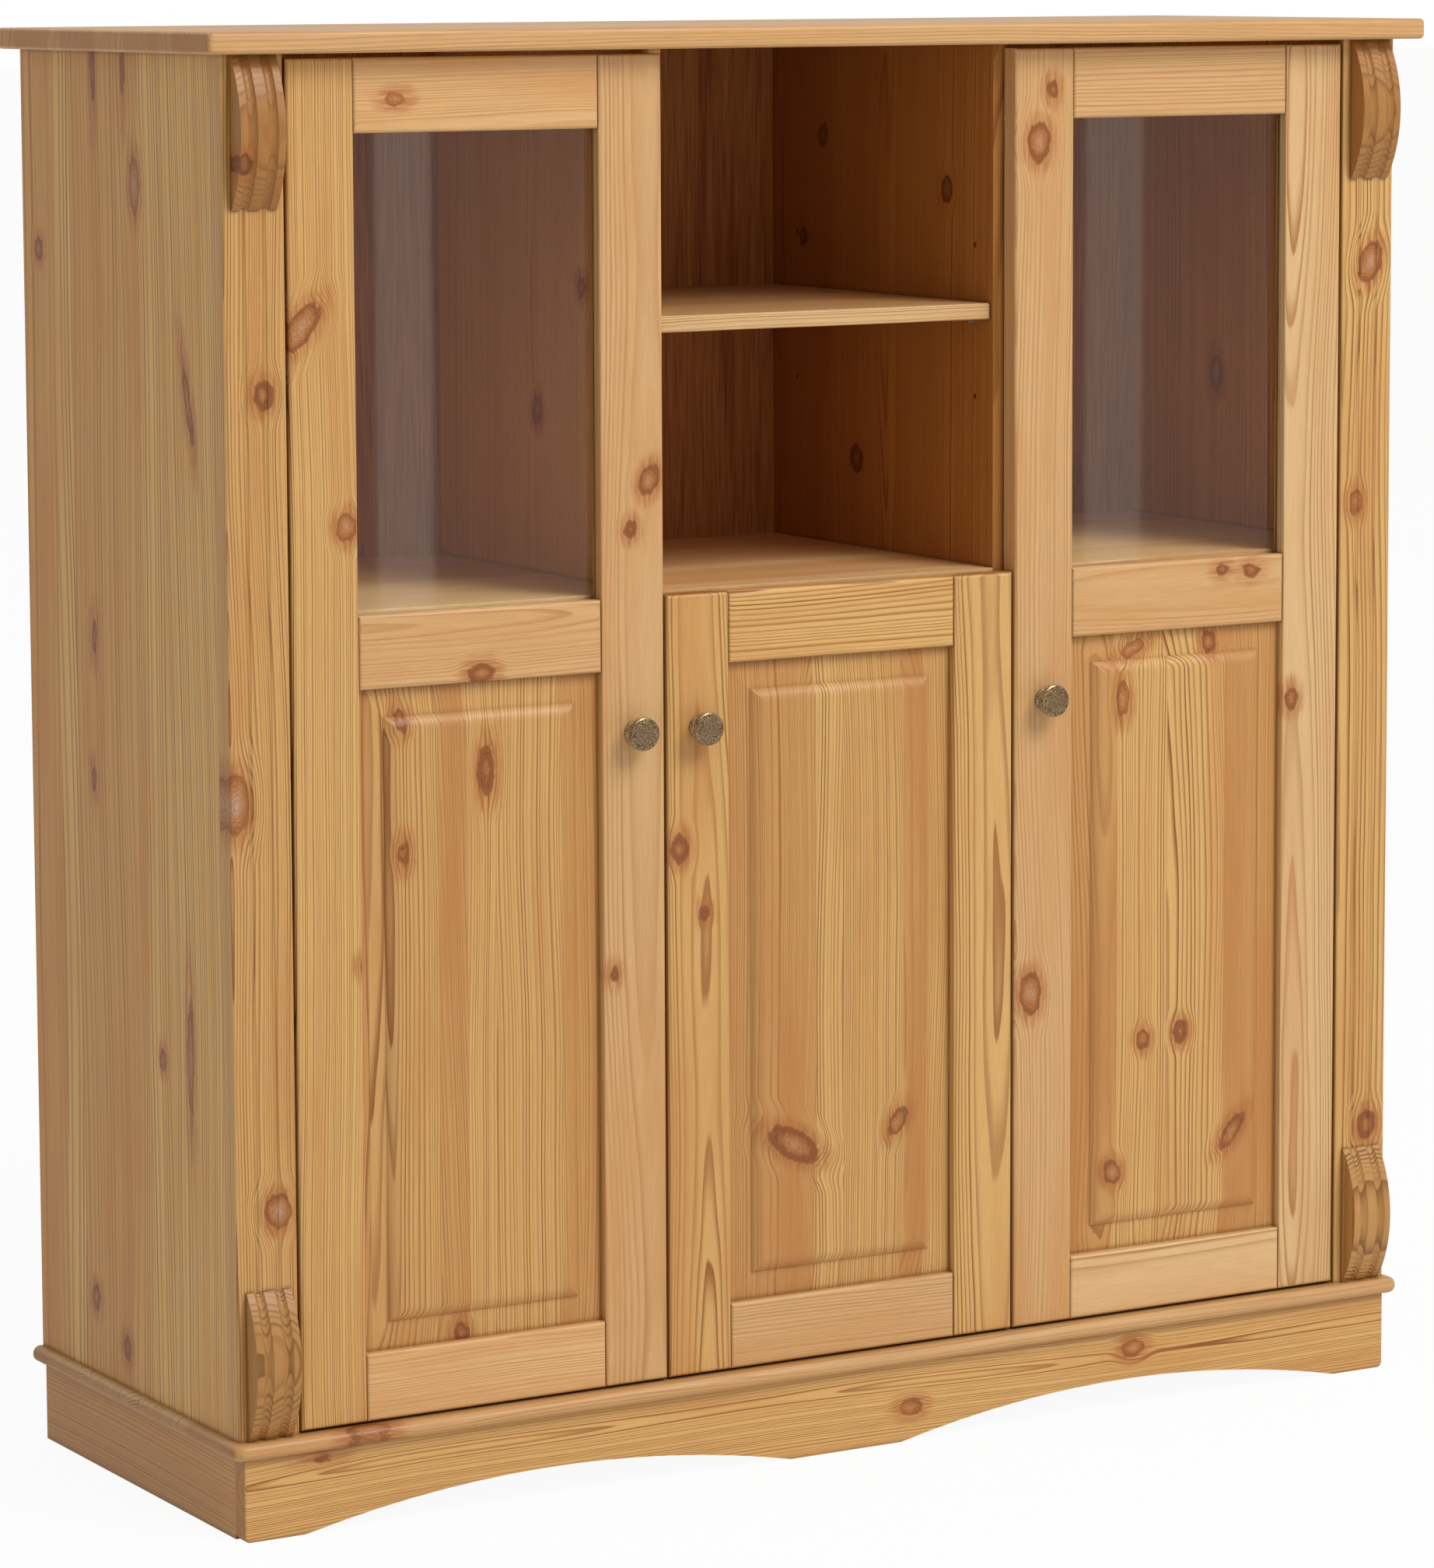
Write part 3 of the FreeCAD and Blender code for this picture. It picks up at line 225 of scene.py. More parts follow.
def pine(piece, along, board_mm, log, colours, tone, knots, ring_mm=RING_MM, pith_mm=PITH_MM):
    """Solid pine for one piece: year rings round a pith, glued strips, fibres and knots under satin lacquer.

    Sawn faces show arched or straight rings, ends show their arcs, and strips differ a little in tone.
    Knots are (place along, place across, radius, length share, tilt in degrees), places and radius in mm.
    """
    material = new_material("knotty_pine_" + piece)
    wood = functools.partial(add, material)
    low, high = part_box(piece)
    middle = (low + high) / 2 / MM
    size = (high - low) / MM
    across, through = sorted({X_AXIS, Y_AXIS, Z_AXIS} - {along}, key=lambda axis: -size[axis])

    coordinates = wood("TexCoord")
    centred = wood("Mapping", {"Vector": coordinates["Object"], "Location": -middle,
                               "Scale": (1 / MM, 1 / MM, 1 / MM)})[0]
    axes = wood("SeparateXYZ", {0: centred})
    grain = wood("CombineXYZ", {0: axes[along], 1: axes[across], 2: axes[through]})[0]
    noise = functools.partial(drawn_out, wood, grain, log)

    parted, knot = part_round_knots(wood, noise, grain, middle[along], middle[across], knots)
    strip, joint = log * STRIP_STEP, 1.0
    if board_mm < size[across]:
        strip, joint = glue_strips(wood, axes[across], board_mm, log)
    chance = wood("TexWhiteNoise", {"W": strip}, noise_dimensions="1D")["Color"]
    chances = wood("SeparateColor", {0: chance})

    # Year rings: the distance from a pith that drifts sideways and in depth along the log.
    section = wood("CombineXYZ", {0: wood("SeparateXYZ", {0: parted})[1], 1: axes[through]})[0]
    reach_mm = size[across] + min(board_mm, size[across])
    pith = wood("VectorMath", {0: chance, 1: (reach_mm, PITH_SPREAD_MM, 0.0), 2: (-reach_mm / 2, pith_mm, 0.0)},
                operation="MULTIPLY_ADD")[0]
    run = wood("Mapping", {"Vector": grain, "Location": (log * 0.37, 0.71, 0.13),
                           "Scale": (1 / BEND_LENGTH_MM, 0.0, 0.0)})[0]
    bend = wood("TexNoise", {"Vector": run, "W": strip, "Scale": 1.0, "Detail": 1.0}, noise_dimensions="4D")["Color"]
    bend = wood("VectorMath", {0: bend, 1: (BEND_SIDE_MM, BEND_DEPTH_MM, 0.0),
                               2: (-BEND_SIDE_MM / 2, -BEND_DEPTH_MM / 2, 0.0)}, operation="MULTIPLY_ADD")[0]
    section = wood("VectorMath", {0: wood("VectorMath", {0: section, 1: pith})[0], 1: bend})[0]
    radius = wood("VectorMath", {0: section}, operation="LENGTH")["Value"]
    waver = noise(WAVER_LENGTH_MM, WAVER_WIDTH_MM, 1.0)
    radius = wood("Math", {0: waver, 1: WAVER_MM, 2: radius}, operation="MULTIPLY_ADD")[0]
    pitch = wood("MapRange", {0: chances[1], 3: CLOSE_RINGS / ring_mm, 4: OPEN_RINGS / ring_mm})[0]
    turns = wood("Math", {0: radius, 1: pitch}, operation="MULTIPLY")[0]
    spell = wood("TexNoise", {"W": turns, "Scale": 1 / SPELL_YEARS, "Detail": 0.0}, noise_dimensions="1D")[0]
    year = wood("Math", {0: spell, 1: SPELL_SHIFT, 2: turns}, operation="MULTIPLY_ADD")[0]
    year = wood("Math", {0: year}, operation="FRACT")[0]
    rise = wood("MapRange", {0: year, 1: LATE_WOOD_START, 2: LATE_WOOD_PEAK, 3: 0.0, 4: 1.0},
                interpolation_type="SMOOTHSTEP")[0]
    fall = wood("MapRange", {0: year, 1: LATE_WOOD_PEAK, 2: 1.0, 3: 1.0, 4: 0.0}, interpolation_type="SMOOTHSTEP")[0]
    lush = wood("TexNoise", {"W": turns, "Scale": 0.45, "Detail": 0.0}, noise_dimensions="1D")[0]
    lush = wood("MapRange", {0: lush, 1: NOISE_LOW, 2: NOISE_HIGH, 3: 0.3, 4: 1.0})[0]
    late = wood("Math", {0: rise, 1: fall}, operation="MULTIPLY")[0]
    late = wood("Math", {0: late, 1: lush}, operation="MULTIPLY")[0]

    # Some strips and some patches are flushed, knots have their own colours, and ends are darker.
    colour = wood("Mix", {0: late, 6: linear(colours["early"]), 7: linear(colours["late"])}, data_type="RGBA")[2]
    tint = wood("MapRange", {0: chances[2], 1: NOISE_LOW, 2: NOISE_HIGH, 3: 0.0, 4: 0.5},
                interpolation_type="SMOOTHSTEP")[0]
    patch = wood("MapRange", {0: noise(300.0, 40.0, 2.0), 1: 0.42, 2: 0.7, 3: 0.0, 4: 0.4},
                 interpolation_type="SMOOTHSTEP")[0]
    flush = wood("Math", {0: tint, 1: patch}, operation="ADD")[0]
    colour = wood("Mix", {0: flush, 6: colour, 7: linear(colours["flush"])}, data_type="RGBA")[2]
    if knot is not None:
        colour = colour_knots(wood, noise, colour, knot, colours["knot_tone"])
    facing = wood("SeparateXYZ", {0: coordinates["Normal"]})[along]
    facing = wood("Math", {0: facing}, operation="ABSOLUTE")[0]
    end_grain = wood("MapRange", {0: facing, 1: 0.7, 2: 0.95})[0]
    colour = wood("Mix", {0: end_grain, 6: colour, 7: linear(END_GRAIN)}, data_type="RGBA", blend_type="MULTIPLY")[2]

    # Fibres, joints and strips shade the wood. Grooves, corners and the gaps between parts get painted shade, darker
    # the more closed in they are.
    fibre = noise(FIBRE_LENGTH_MM, FIBRE_WIDTH_MM, 2.0)
    shade = wood("MapRange", {0: fibre, 1: NOISE_LOW, 2: NOISE_HIGH, 3: 0.92 * tone, 4: 1.06 * tone})[0]
    strip_tone = wood("MapRange", {0: chances[2], 3: 1.03, 4: 0.95})[0]
    painted_crevice_shade = wood("AmbientOcclusion", {"Distance": CREVICE_SHADE_MM * MM}, samples=4)["AO"]
    painted_crevice_shade = wood("MapRange", {0: painted_crevice_shade, 1: 0.6, 2: 0.97, 3: 0.66, 4: 1.0})[0]
    for darkening in (joint, strip_tone, painted_crevice_shade):
        shade = wood("Math", {0: shade, 1: darkening}, operation="MULTIPLY")[0]
    colour = wood("HueSaturation", {"Value": shade, "Color": colour})[0]

    relief = wood("Math", {0: late, 1: 0.8, 2: fibre}, operation="MULTIPLY_ADD")[0]
    bump = wood("Bump", {"Strength": 0.16, "Distance": 0.5 * MM, "Height": relief})[0]
    rough = wood("MapRange", {0: fibre, 1: NOISE_LOW, 2: NOISE_HIGH, 3: 0.38, 4: 0.5})[0]
    surface = wood("BsdfPrincipled", {"Base Color": colour, "Roughness": rough, "IOR": 1.46, "Normal": bump,
                                      "Coat Weight": 0.06, "Coat Roughness": 0.22})[0]
    wood("OutputMaterial", {"Surface": surface})
    return material


def printed_back_board():
    """Thin fibre board with a printed oak face: fine vertical pores in front, plain brown behind."""
    material = new_material("printed_oak_fibre_board")
    board = functools.partial(add, material)
    coordinates = board("TexCoord")
    pores = board("Mapping", {"Vector": coordinates["Object"], "Scale": (1 / (2.2 * MM), 60.0, 1 / (70 * MM))})[0]
    bands = board("Mapping", {"Vector": coordinates["Object"], "Scale": (1 / (28 * MM), 60.0, 1 / (520 * MM))})[0]
    pore = board("TexNoise", {"Vector": pores, "Scale": 1.0, "Detail": 3.0, "Distortion": 0.4})[0]
    band = board("TexNoise", {"Vector": bands, "Scale": 1.0, "Detail": 2.0, "Distortion": 1.2})[0]
    grain = board("ValToRGB", {0: pore}, stops=[(0.3, "#965A28"), (0.5, "#B4763A"), (0.7, "#C48848")])[0]
    tint = board("ValToRGB", {0: band}, stops=[(0.35, "#DCC2A4"), (0.5, WHITE), (0.7, "#ECD6BA")])[0]
    face = board("Mix", {0: 0.8, 6: grain, 7: tint}, data_type="RGBA", blend_type="MULTIPLY")[2]
    grit = board("TexNoise", {"Vector": coordinates["Object"], "Scale": 1 / (3 * MM), "Detail": 4.0})[0]
    rear = board("ValToRGB", {0: grit}, stops=[(0.35, "#8F6B45"), (0.65, "#A98358")])[0]
    outward = board("SeparateXYZ", {0: coordinates["Normal"]})[1]
    behind = board("Math", {0: outward, 1: 0.5}, operation="GREATER_THAN")[0]
    colour = board("Mix", {0: behind, 6: face, 7: rear}, data_type="RGBA")[2]
    bump = board("Bump", {"Strength": 0.1, "Distance": 0.3 * MM, "Height": pore})[0]
    rough = board("MapRange", {0: pore, 1: NOISE_LOW, 2: NOISE_HIGH, 3: 0.62, 4: 0.5})[0]
    surface = board("BsdfPrincipled", {"Base Color": colour, "Roughness": rough, "Normal": bump})[0]
    board("OutputMaterial", {"Surface": surface})
    return material


def float_glass():
    """Clear float glass: a mirror-smooth pane with a faint green tint that lets the lamps through."""
    material = new_material("clear_float_glass")
    glass = functools.partial(add, material)
    pane = glass("BsdfPrincipled", {"Base Color": linear("#F6FAF7"), "Roughness": 0.02, "IOR": 1.5,
                                    "Transmission Weight": 1.0})[0]
    open_way = glass("BsdfTransparent", {0: linear("#FAFDFB")})[0]
    lamp_ray = glass("LightPath")["Is Shadow Ray"]
    glass("OutputMaterial", {"Surface": glass("MixShader", {0: lamp_ray, 1: pane, 2: open_way})[0]})
    return material


def antique_brass():
    """Cast brass, darkened and rubbed: a finely speckled olive-grey face that catches light on its rim."""
    material = new_material("antique_brass")
    brass = functools.partial(add, material)
    coordinates = brass("TexCoord")
    mottle = brass("TexNoise", {"Vector": coordinates["Object"], "Scale": 1 / (1.3 * MM), "Detail": 4.0})[0]
    grit = brass("TexNoise", {"Vector": coordinates["Object"], "Scale": 1 / (0.7 * MM), "Detail": 2.0})[0]
    colour = brass("ValToRGB", {0: mottle}, stops=[(0.34, "#665840"), (0.5, "#B2A27C"), (0.66, "#E2D4B0")])[0]
    rough = brass("MapRange", {0: grit, 1: NOISE_LOW, 2: NOISE_HIGH, 3: 0.3, 4: 0.44})[0]
    bump = brass("Bump", {"Strength": 0.08, "Distance": 0.2 * MM, "Height": grit})[0]
    surface = brass("BsdfPrincipled", {"Base Color": colour, "Metallic": 1.0, "Roughness": rough,
                                       "Normal": bump})[0]
    brass("OutputMaterial", {"Surface": surface})
    return material


def nickel_steel():
    """Pressed steel, nickel plated: grey and satin with faint drawing marks."""
    material = new_material("nickel_plated_steel")
    steel = functools.partial(add, material)
    marks = steel("Mapping", {"Vector": steel("TexCoord")["Object"],
                              "Scale": (1 / (4 * MM), 1 / (4 * MM), 1 / (0.4 * MM))})[0]
    mark = steel("TexNoise", {"Vector": marks, "Scale": 1.0, "Detail": 2.0})[0]
    colour = steel("ValToRGB", {0: mark}, stops=[(0.3, "#C2C0BA"), (0.7, "#E2E0DA")])[0]
    rough = steel("MapRange", {0: mark, 1: NOISE_LOW, 2: NOISE_HIGH, 3: 0.36, 4: 0.5})[0]
    surface = steel("BsdfPrincipled", {"Base Color": colour, "Metallic": 1.0, "Roughness": rough})[0]
    steel("OutputMaterial", {"Surface": surface})
    return material


def soft_buffer():
    """Soft clear-white plastic dots: matt, a little uneven."""
    material = new_material("soft_polyurethane")
    plastic = functools.partial(add, material)
    cloud = plastic("TexNoise", {"Vector": plastic("TexCoord")["Object"], "Scale": 1 / (2 * MM), "Detail": 2.0})[0]
    colour = plastic("ValToRGB", {0: cloud}, stops=[(0.3, "#CFCBBF"), (0.7, "#E2DED3")])[0]
    surface = plastic("BsdfPrincipled", {"Base Color": colour, "Roughness": 0.6, "Subsurface Weight": 0.1})[0]
    plastic("OutputMaterial", {"Surface": surface})
    return material


def dress(piece, material):
    """Give a piece its one material."""
    nodes[piece].data.materials.clear()
    nodes[piece].data.materials.append(material)


# Each wooden piece: colours, grain direction, width of the glued boards in mm, tone, knots.
WHOLE_BOARD_MM = 900.0
WOOD = {
    "top_panel": (HONEY, X_AXIS, 44.0, 1.06, ()),
    "left_side_panel": (BOLD, Z_AXIS, 62.0, 1.0, (
        (1105, -20, 10, 2.3, 0), (930, -118, 6, 6.0, 14), (1045, 176, 8, 1.3, 0), (1200, 60, 5, 6.0, 0),
        (1200, 0, 4, 6.0, 0), (600, 79, 5, 2.2, 0), (380, -50, 6, 1.5, 0), (390, -105, 6, 8.0, 0),
        (150, 92, 8, 1.4, 0), (118, 30, 7, 1.6, 0), (723, 74, 5, 3.0, 0))),
    "right_side_panel": (BOLD, Z_AXIS, 62.0, 1.08, (
        (900, 60, 10, 1.8, 0), (400, -60, 12, 2.0, 0), (210, 90, 7, 1.3, 0))),
    # Painted light: the left partition, seen behind the left pane, is made lighter to make up for light reaching the
    # cabinet behind it.
    "left_partition": (HONEY, Z_AXIS, 62.0, 1.2, ((900, 20, 9, 1.4, 0), (1010, -60, 7, 1.3, 0))),
    # Painted shade: the right partition's tone is lowered too, for the shaded niche wall.
    "right_partition": (PAINTED_SHADE_PINE, Z_AXIS, 62.0, 0.88, (
        (839, 58, 11, 1.2, 0), (1086, -93, 9, 1.3, 0), (1129, 115, 8, 1.4, 0), (1036, 150, 7, 1.3, 0))),
    "bottom_panel": (HONEY, X_AXIS, 44.0, 1.0, ((-467, -196, 9, 2.2, 0),)),
    "front_plinth": (AMBER, X_AXIS, WHOLE_BOARD_MM, 1.0, (
        (301, 53, 8, 1.5, 0), (66, 30, 7, 1.6, 0), (-508, 62, 3, 3.0, 0))),
    "left_plinth": (AMBER, Y_AXIS, WHOLE_BOARD_MM, 0.97, ()),
    "right_plinth": (AMBER, Y_AXIS, WHOLE_BOARD_MM, 0.97, ((60, 40, 8, 1.5, 0),)),
    "rear_plinth": (AMBER, X_AXIS, WHOLE_BOARD_MM, 0.97, ((-200, 30, 9, 1.6, 0), (310, 40, 8, 1.6, 0))),
    "left_pilaster": (AMBER, Z_AXIS, WHOLE_BOARD_MM, 0.97, (
        (941, -546, 9, 1.4, 0), (611, -575, 12, 2.0, 0), (273, -542, 12, 1.2, 0))),
    "right_pilaster": (AMBER, Z_AXIS, WHOLE_BOARD_MM, 1.0, (
        (1015, 556, 12, 1.6, 18), (799, 542, 7, 1.6, 0), (228, 560, 10, 1.4, 0))),
    "left_fixed_shelf": (HONEY, X_AXIS, 60.0, 1.05, ()),
    # Painted light: the middle fixed shelf, the niche's floor, is made lighter for the light that falls on it.
    "middle_fixed_shelf": (HONEY, X_AXIS, 60.0, 1.2, ()),
    "right_fixed_shelf": (HONEY, X_AXIS, 60.0, 1.05, ()),
    "niche_shelf": (HONEY, X_AXIS, 60.0, 0.97, ()),
    "left_door_hinge_stile": (AMBER, Z_AXIS, WHOLE_BOARD_MM, 0.98, (
        (994, -511, 11, 2.2, 38), (831, -473, 9, 1.3, 0), (468, -461, 4, 1.5, 0))),
    "left_door_knob_stile": (HONEY, Z_AXIS, WHOLE_BOARD_MM, 1.03, (
        (855, -190, 9, 1.5, 25), (815, -208, 6, 1.3, 0), (440, -226, 4, 1.5, 0))),
    "left_door_top_rail": (HONEY, X_AXIS, WHOLE_BOARD_MM, 1.12, ((-424, 1176, 5, 1.8, 0),)),
    "left_door_middle_rail": (HONEY, X_AXIS, WHOLE_BOARD_MM, 1.06, ((-350, 703, 9, 1.4, 0),)),
    "left_door_bottom_rail": (HONEY, X_AXIS, WHOLE_BOARD_MM, 1.12, ()),
    "left_door_panel": (AMBER, Z_AXIS, 40.0, 0.97, (
        (622, -346, 8, 2.6, 0), (668, -424, 6, 1.6, 0), (559, -423, 5, 2.0, 0), (148, -370, 7, 1.4, 0))),
    "left_door_glass_beads": (HONEY, Z_AXIS, WHOLE_BOARD_MM, 1.0, ()),
    "middle_door_knob_stile": (AMBER, Z_AXIS, WHOLE_BOARD_MM, 1.0, ((541, -162, 9, 1.4, 0), (484, -138, 5, 1.3, 0))),
    "middle_door_hinge_stile": (AMBER, Z_AXIS, WHOLE_BOARD_MM, 1.0, ()),
    "middle_door_top_rail": (AMBER, X_AXIS, WHOLE_BOARD_MM, 1.02, ()),
    "middle_door_bottom_rail": (HONEY, X_AXIS, WHOLE_BOARD_MM, 1.04, ()),
    "middle_door_panel": (AMBER, Z_AXIS, 40.0, 0.96, ((275, -50, 13, 2.2, -60), (284, 55, 8, 1.7, 35))),
    "right_door_knob_stile": (HONEY, Z_AXIS, WHOLE_BOARD_MM, 1.04, (
        (1129, 200, 12, 1.5, 0), (1174, 214, 6, 1.4, 0), (384, 193, 11, 1.7, 0))),
    "right_door_hinge_stile": (HONEY, Z_AXIS, WHOLE_BOARD_MM, 1.02, ((626, 472, 7, 1.5, 0),)),
    "right_door_top_rail": (HONEY, X_AXIS, WHOLE_BOARD_MM, 1.08, ()),
    "right_door_middle_rail": (HONEY, X_AXIS, WHOLE_BOARD_MM, 1.06, ((427, 744, 6, 1.6, 0), (396, 747, 5, 1.4, 0))),
    "right_door_bottom_rail": (HONEY, X_AXIS, WHOLE_BOARD_MM, 1.04, ()),
    "right_door_panel": (AMBER, Z_AXIS, 40.0, 0.99, (
        (681, 304, 6, 2.4, 68), (682, 386, 7, 1.4, 0), (638, 290, 7, 2.2, 0), (331, 313, 7, 1.3, 0),
        (334, 353, 8, 1.3, 0), (214, 280, 9, 1.2, -15), (238, 410, 8, 2.4, 40))),
    "right_door_glass_beads": (HONEY, Z_AXIS, WHOLE_BOARD_MM, 1.0, ()),
}
WIDE_RINGS = {"left_side_panel": SIDE_RING_MM, "right_side_panel": SIDE_RING_MM}
CORBEL_KNOTS = {
    "upper_left_corbel": ((1127, -568, 7, 1.2, 0),), "upper_right_corbel": (),
    "lower_left_corbel": (), "lower_right_corbel": ()}
# Every piece comes from a log of its own, whose number sets its pattern.
FIRST_LOG = 1
FIRST_CORBEL_LOG = 50

for log, (piece, (colours, along, board_mm, tone, knots)) in enumerate(WOOD.items(), FIRST_LOG):
    dress(piece, pine(piece, along, board_mm, log, colours, tone, knots, WIDE_RINGS.get(piece, RING_MM)))
for log, (piece, knots) in enumerate(CORBEL_KNOTS.items(), FIRST_CORBEL_LOG):
    dress(piece, pine(piece, Z_AXIS, WHOLE_BOARD_MM, log, BROWN, 1.0, knots, CORBEL_RING_MM, CORBEL_PITH_MM))

glass, brass, nickel = float_glass(), antique_brass(), nickel_steel()
OTHER_FINISHES = {
    "back_panel": printed_back_board(), "left_door_glass": glass, "right_door_glass": glass,
    "hinge_arms": nickel, "shelf_pins": nickel, "door_buffers": soft_buffer()}
for door in ("left_door", "middle_door", "right_door"):
    OTHER_FINISHES[door + "_knob"] = brass
    OTHER_FINISHES[door + "_hinge_cups"] = nickel
for piece, material in OTHER_FINISHES.items():
    dress(piece, material)

# Small fasteners: cross-head screws with domed heads, each group one piece on the body that it holds to.
HEAD_SIDES = 16
HEAD_TAPER = 0.9
ROUNDING_SHARE = 0.45
ROUNDING_STEPS = 3
SOCKET_RIM = 0.26
SOCKET_EDGE = 0.02
SOCKET_DEPTH = 0.6
CROSS_ARM_SIDES = 4
CROSS_WAIST = 0.34


def screw_heads(name, body, facing, radius_mm, height_mm, places_mm):
    """One mesh of screw heads, each with a rounded rim and a cross socket, facing one way."""
    shape = bmesh.new()
    outward = Vector(facing)
    turn = outward.to_track_quat("Z", "Y").to_matrix().to_4x4()
    radius, height = radius_mm * MM, height_mm * MM
    for place_mm in places_mm:
        seat = Matrix.Translation(Vector(place_mm) * MM) @ turn
        made = bmesh.ops.create_cone(
            shape, cap_ends=True, segments=HEAD_SIDES, radius1=radius, radius2=radius * HEAD_TAPER,
            depth=height, matrix=seat @ Matrix.Translation((0.0, 0.0, height / 2)))
        faces = {face for vert in made["verts"] for face in vert.link_faces}
        top = max(faces, key=lambda face: face.calc_center_median().dot(outward))
        bmesh.ops.bevel(shape, geom=list(top.edges), offset=height * ROUNDING_SHARE, segments=ROUNDING_STEPS,
                        profile=0.5, affect="EDGES", material=-1)
        # The bevel made new faces, so the top is found again among those of this head.
        top = max(shape.faces, key=lambda face: (face.normal.dot(outward) > 0.99) * face.calc_area()
                  if (face.calc_center_median() - seat.translation).length < radius * 2 else 0.0)
        bmesh.ops.inset_individual(shape, faces=[top], thickness=radius * SOCKET_RIM)
        for side, vert in enumerate(top.verts):
            if side % CROSS_ARM_SIDES:
                centre = top.calc_center_median()
                bmesh.ops.scale(shape, vec=(CROSS_WAIST, CROSS_WAIST, CROSS_WAIST),
                                space=Matrix.Translation(-centre), verts=[vert])
        bmesh.ops.inset_individual(shape, faces=[top], thickness=radius * SOCKET_EDGE, depth=-height * SOCKET_DEPTH)
    bmesh.ops.recalc_face_normals(shape, faces=shape.faces)
    mesh = bpy.data.meshes.new(name)
    shape.to_mesh(mesh)
    shape.free()
    mesh.materials.append(nickel)
    heads = bpy.data.objects.new(name, mesh)
    bpy.context.collection.objects.link(heads)
    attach(heads, body)


# Each kind of screw: the head's radius and height in mm.
CUP_SCREW = (3.4, 1.1)
KNOB_SCREW = (4.0, 1.2)
ARM_SCREW = (2.8, 1.0)
BOARD_SCREW = (3.0, 0.8)
BACKWARD = (0, 1, 0)
LEFTWARD = (-1, 0, 0)

# The cups' plates are screwed to the stiles above and below, the knobs from behind.
ARM_HALF_HEIGHT_MM = 6.0
CUP_HALF_HEIGHT_MM = 30.0
CUP_TO_SCREW_MM = 21.5
SCREW_RISE_MM = 24.0
arms_low, arms_high = (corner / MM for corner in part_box("hinge_arms"))
low_hinge = arms_low.z + ARM_HALF_HEIGHT_MM
middle_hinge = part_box("middle_door_hinge_cups")[1].z / MM - CUP_HALF_HEIGHT_MM
high_hinge = arms_high.z - ARM_HALF_HEIGHT_MM
HINGE_LEVELS = {
    "left_door": (low_hinge, middle_hinge, high_hinge), "middle_door": (low_hinge, middle_hinge),
    "right_door": (low_hinge, middle_hinge, high_hinge)}
for door, levels in HINGE_LEVELS.items():
    low, high = (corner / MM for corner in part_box(door + "_hinge_cups"))
    screw_x = low.x + CUP_TO_SCREW_MM if door == "left_door" else high.x - CUP_TO_SCREW_MM
    screw_heads(door + "_cup_screws", door, BACKWARD, *CUP_SCREW, [
        (screw_x, high.y, level + rise) for level in levels for rise in (-SCREW_RISE_MM, SCREW_RISE_MM)])
    knob_low, knob_high = (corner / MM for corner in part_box(door + "_knob"))
    knob_middle = (knob_low + knob_high) / 2
    stile_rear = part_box(door + "_knob_stile")[1].y / MM
    screw_heads(door + "_knob_screw", door, BACKWARD, *KNOB_SCREW, [(knob_middle.x, stile_rear, knob_middle.z)])

# The tall doors' arms are screwed to straps behind the pilasters, the middle door's to the partition.
STRAP_REAR_MM = -165.0
STRAP_SCREW_INSETS_MM = (7.7, 19.7)
PLATE_FACE_MM = 163.1
PLATE_SCREW_DEPTHS_MM = (-150.0, -135.0)
screw_heads("strap_screws", "carcass", BACKWARD, *ARM_SCREW, [
    (side * (arms_high.x - inset), STRAP_REAR_MM, level)
    for side in (-1, 1) for inset in STRAP_SCREW_INSETS_MM for level in HINGE_LEVELS["left_door"]])
screw_heads("partition_plate_screws", "carcass", LEFTWARD, *ARM_SCREW, [
    (PLATE_FACE_MM, depth, level) for depth in PLATE_SCREW_DEPTHS_MM for level in HINGE_LEVELS["middle_door"]])

# The back board is screwed to the sides and to the partitions.
BOARD_SCREW_LEVELS_MM = (110.0, 340.0, 570.0, 752.5, 960.0, 1190.0)
BOARD_SCREW_INSET_MM = 4.5
board_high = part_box("back_panel")[1] / MM
partition_low, partition_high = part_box("right_partition")
partition_x = (partition_low.x + partition_high.x) / 2 / MM
screw_heads("back_panel_screws", "carcass", BACKWARD, *BOARD_SCREW, [
    (side * place, board_high.y, level)
    for side in (-1, 1) for place in (board_high.x - BOARD_SCREW_INSET_MM, partition_x)
    for level in BOARD_SCREW_LEVELS_MM])

# Camera at the photograph's place: it looks in from the left, a little over the top, verticals near upright.
CAMERA_PLACE = Vector((-2.570, -4.372, 1.290))
CAMERA_TURN = math.radians(30.302)
CAMERA_DIP = math.radians(-6.619)
CAMERA_TILT = math.radians(-0.239)
PICTURE_HEIGHT = 2016
FOCAL_PIXELS = 7433
HORIZON_RISE_PIXELS = 202
FILM_MM = 36.0
camera_data = bpy.data.cameras.new("camera")
camera_data.sensor_width = FILM_MM
camera_data.lens = FOCAL_PIXELS * FILM_MM / PICTURE_HEIGHT
camera_data.shift_y = -HORIZON_RISE_PIXELS / PICTURE_HEIGHT
camera = bpy.data.objects.new("camera", camera_data)
bpy.context.collection.objects.link(camera)
camera.matrix_world = (
    Matrix.Translation(CAMERA_PLACE) @ Matrix.Rotation(-CAMERA_TURN, 4, "Z")
    @ Matrix.Rotation(math.pi / 2 + CAMERA_DIP, 4, "X") @ Matrix.Rotation(CAMERA_TILT, 4, "Z"))
bpy.context.scene.camera = camera

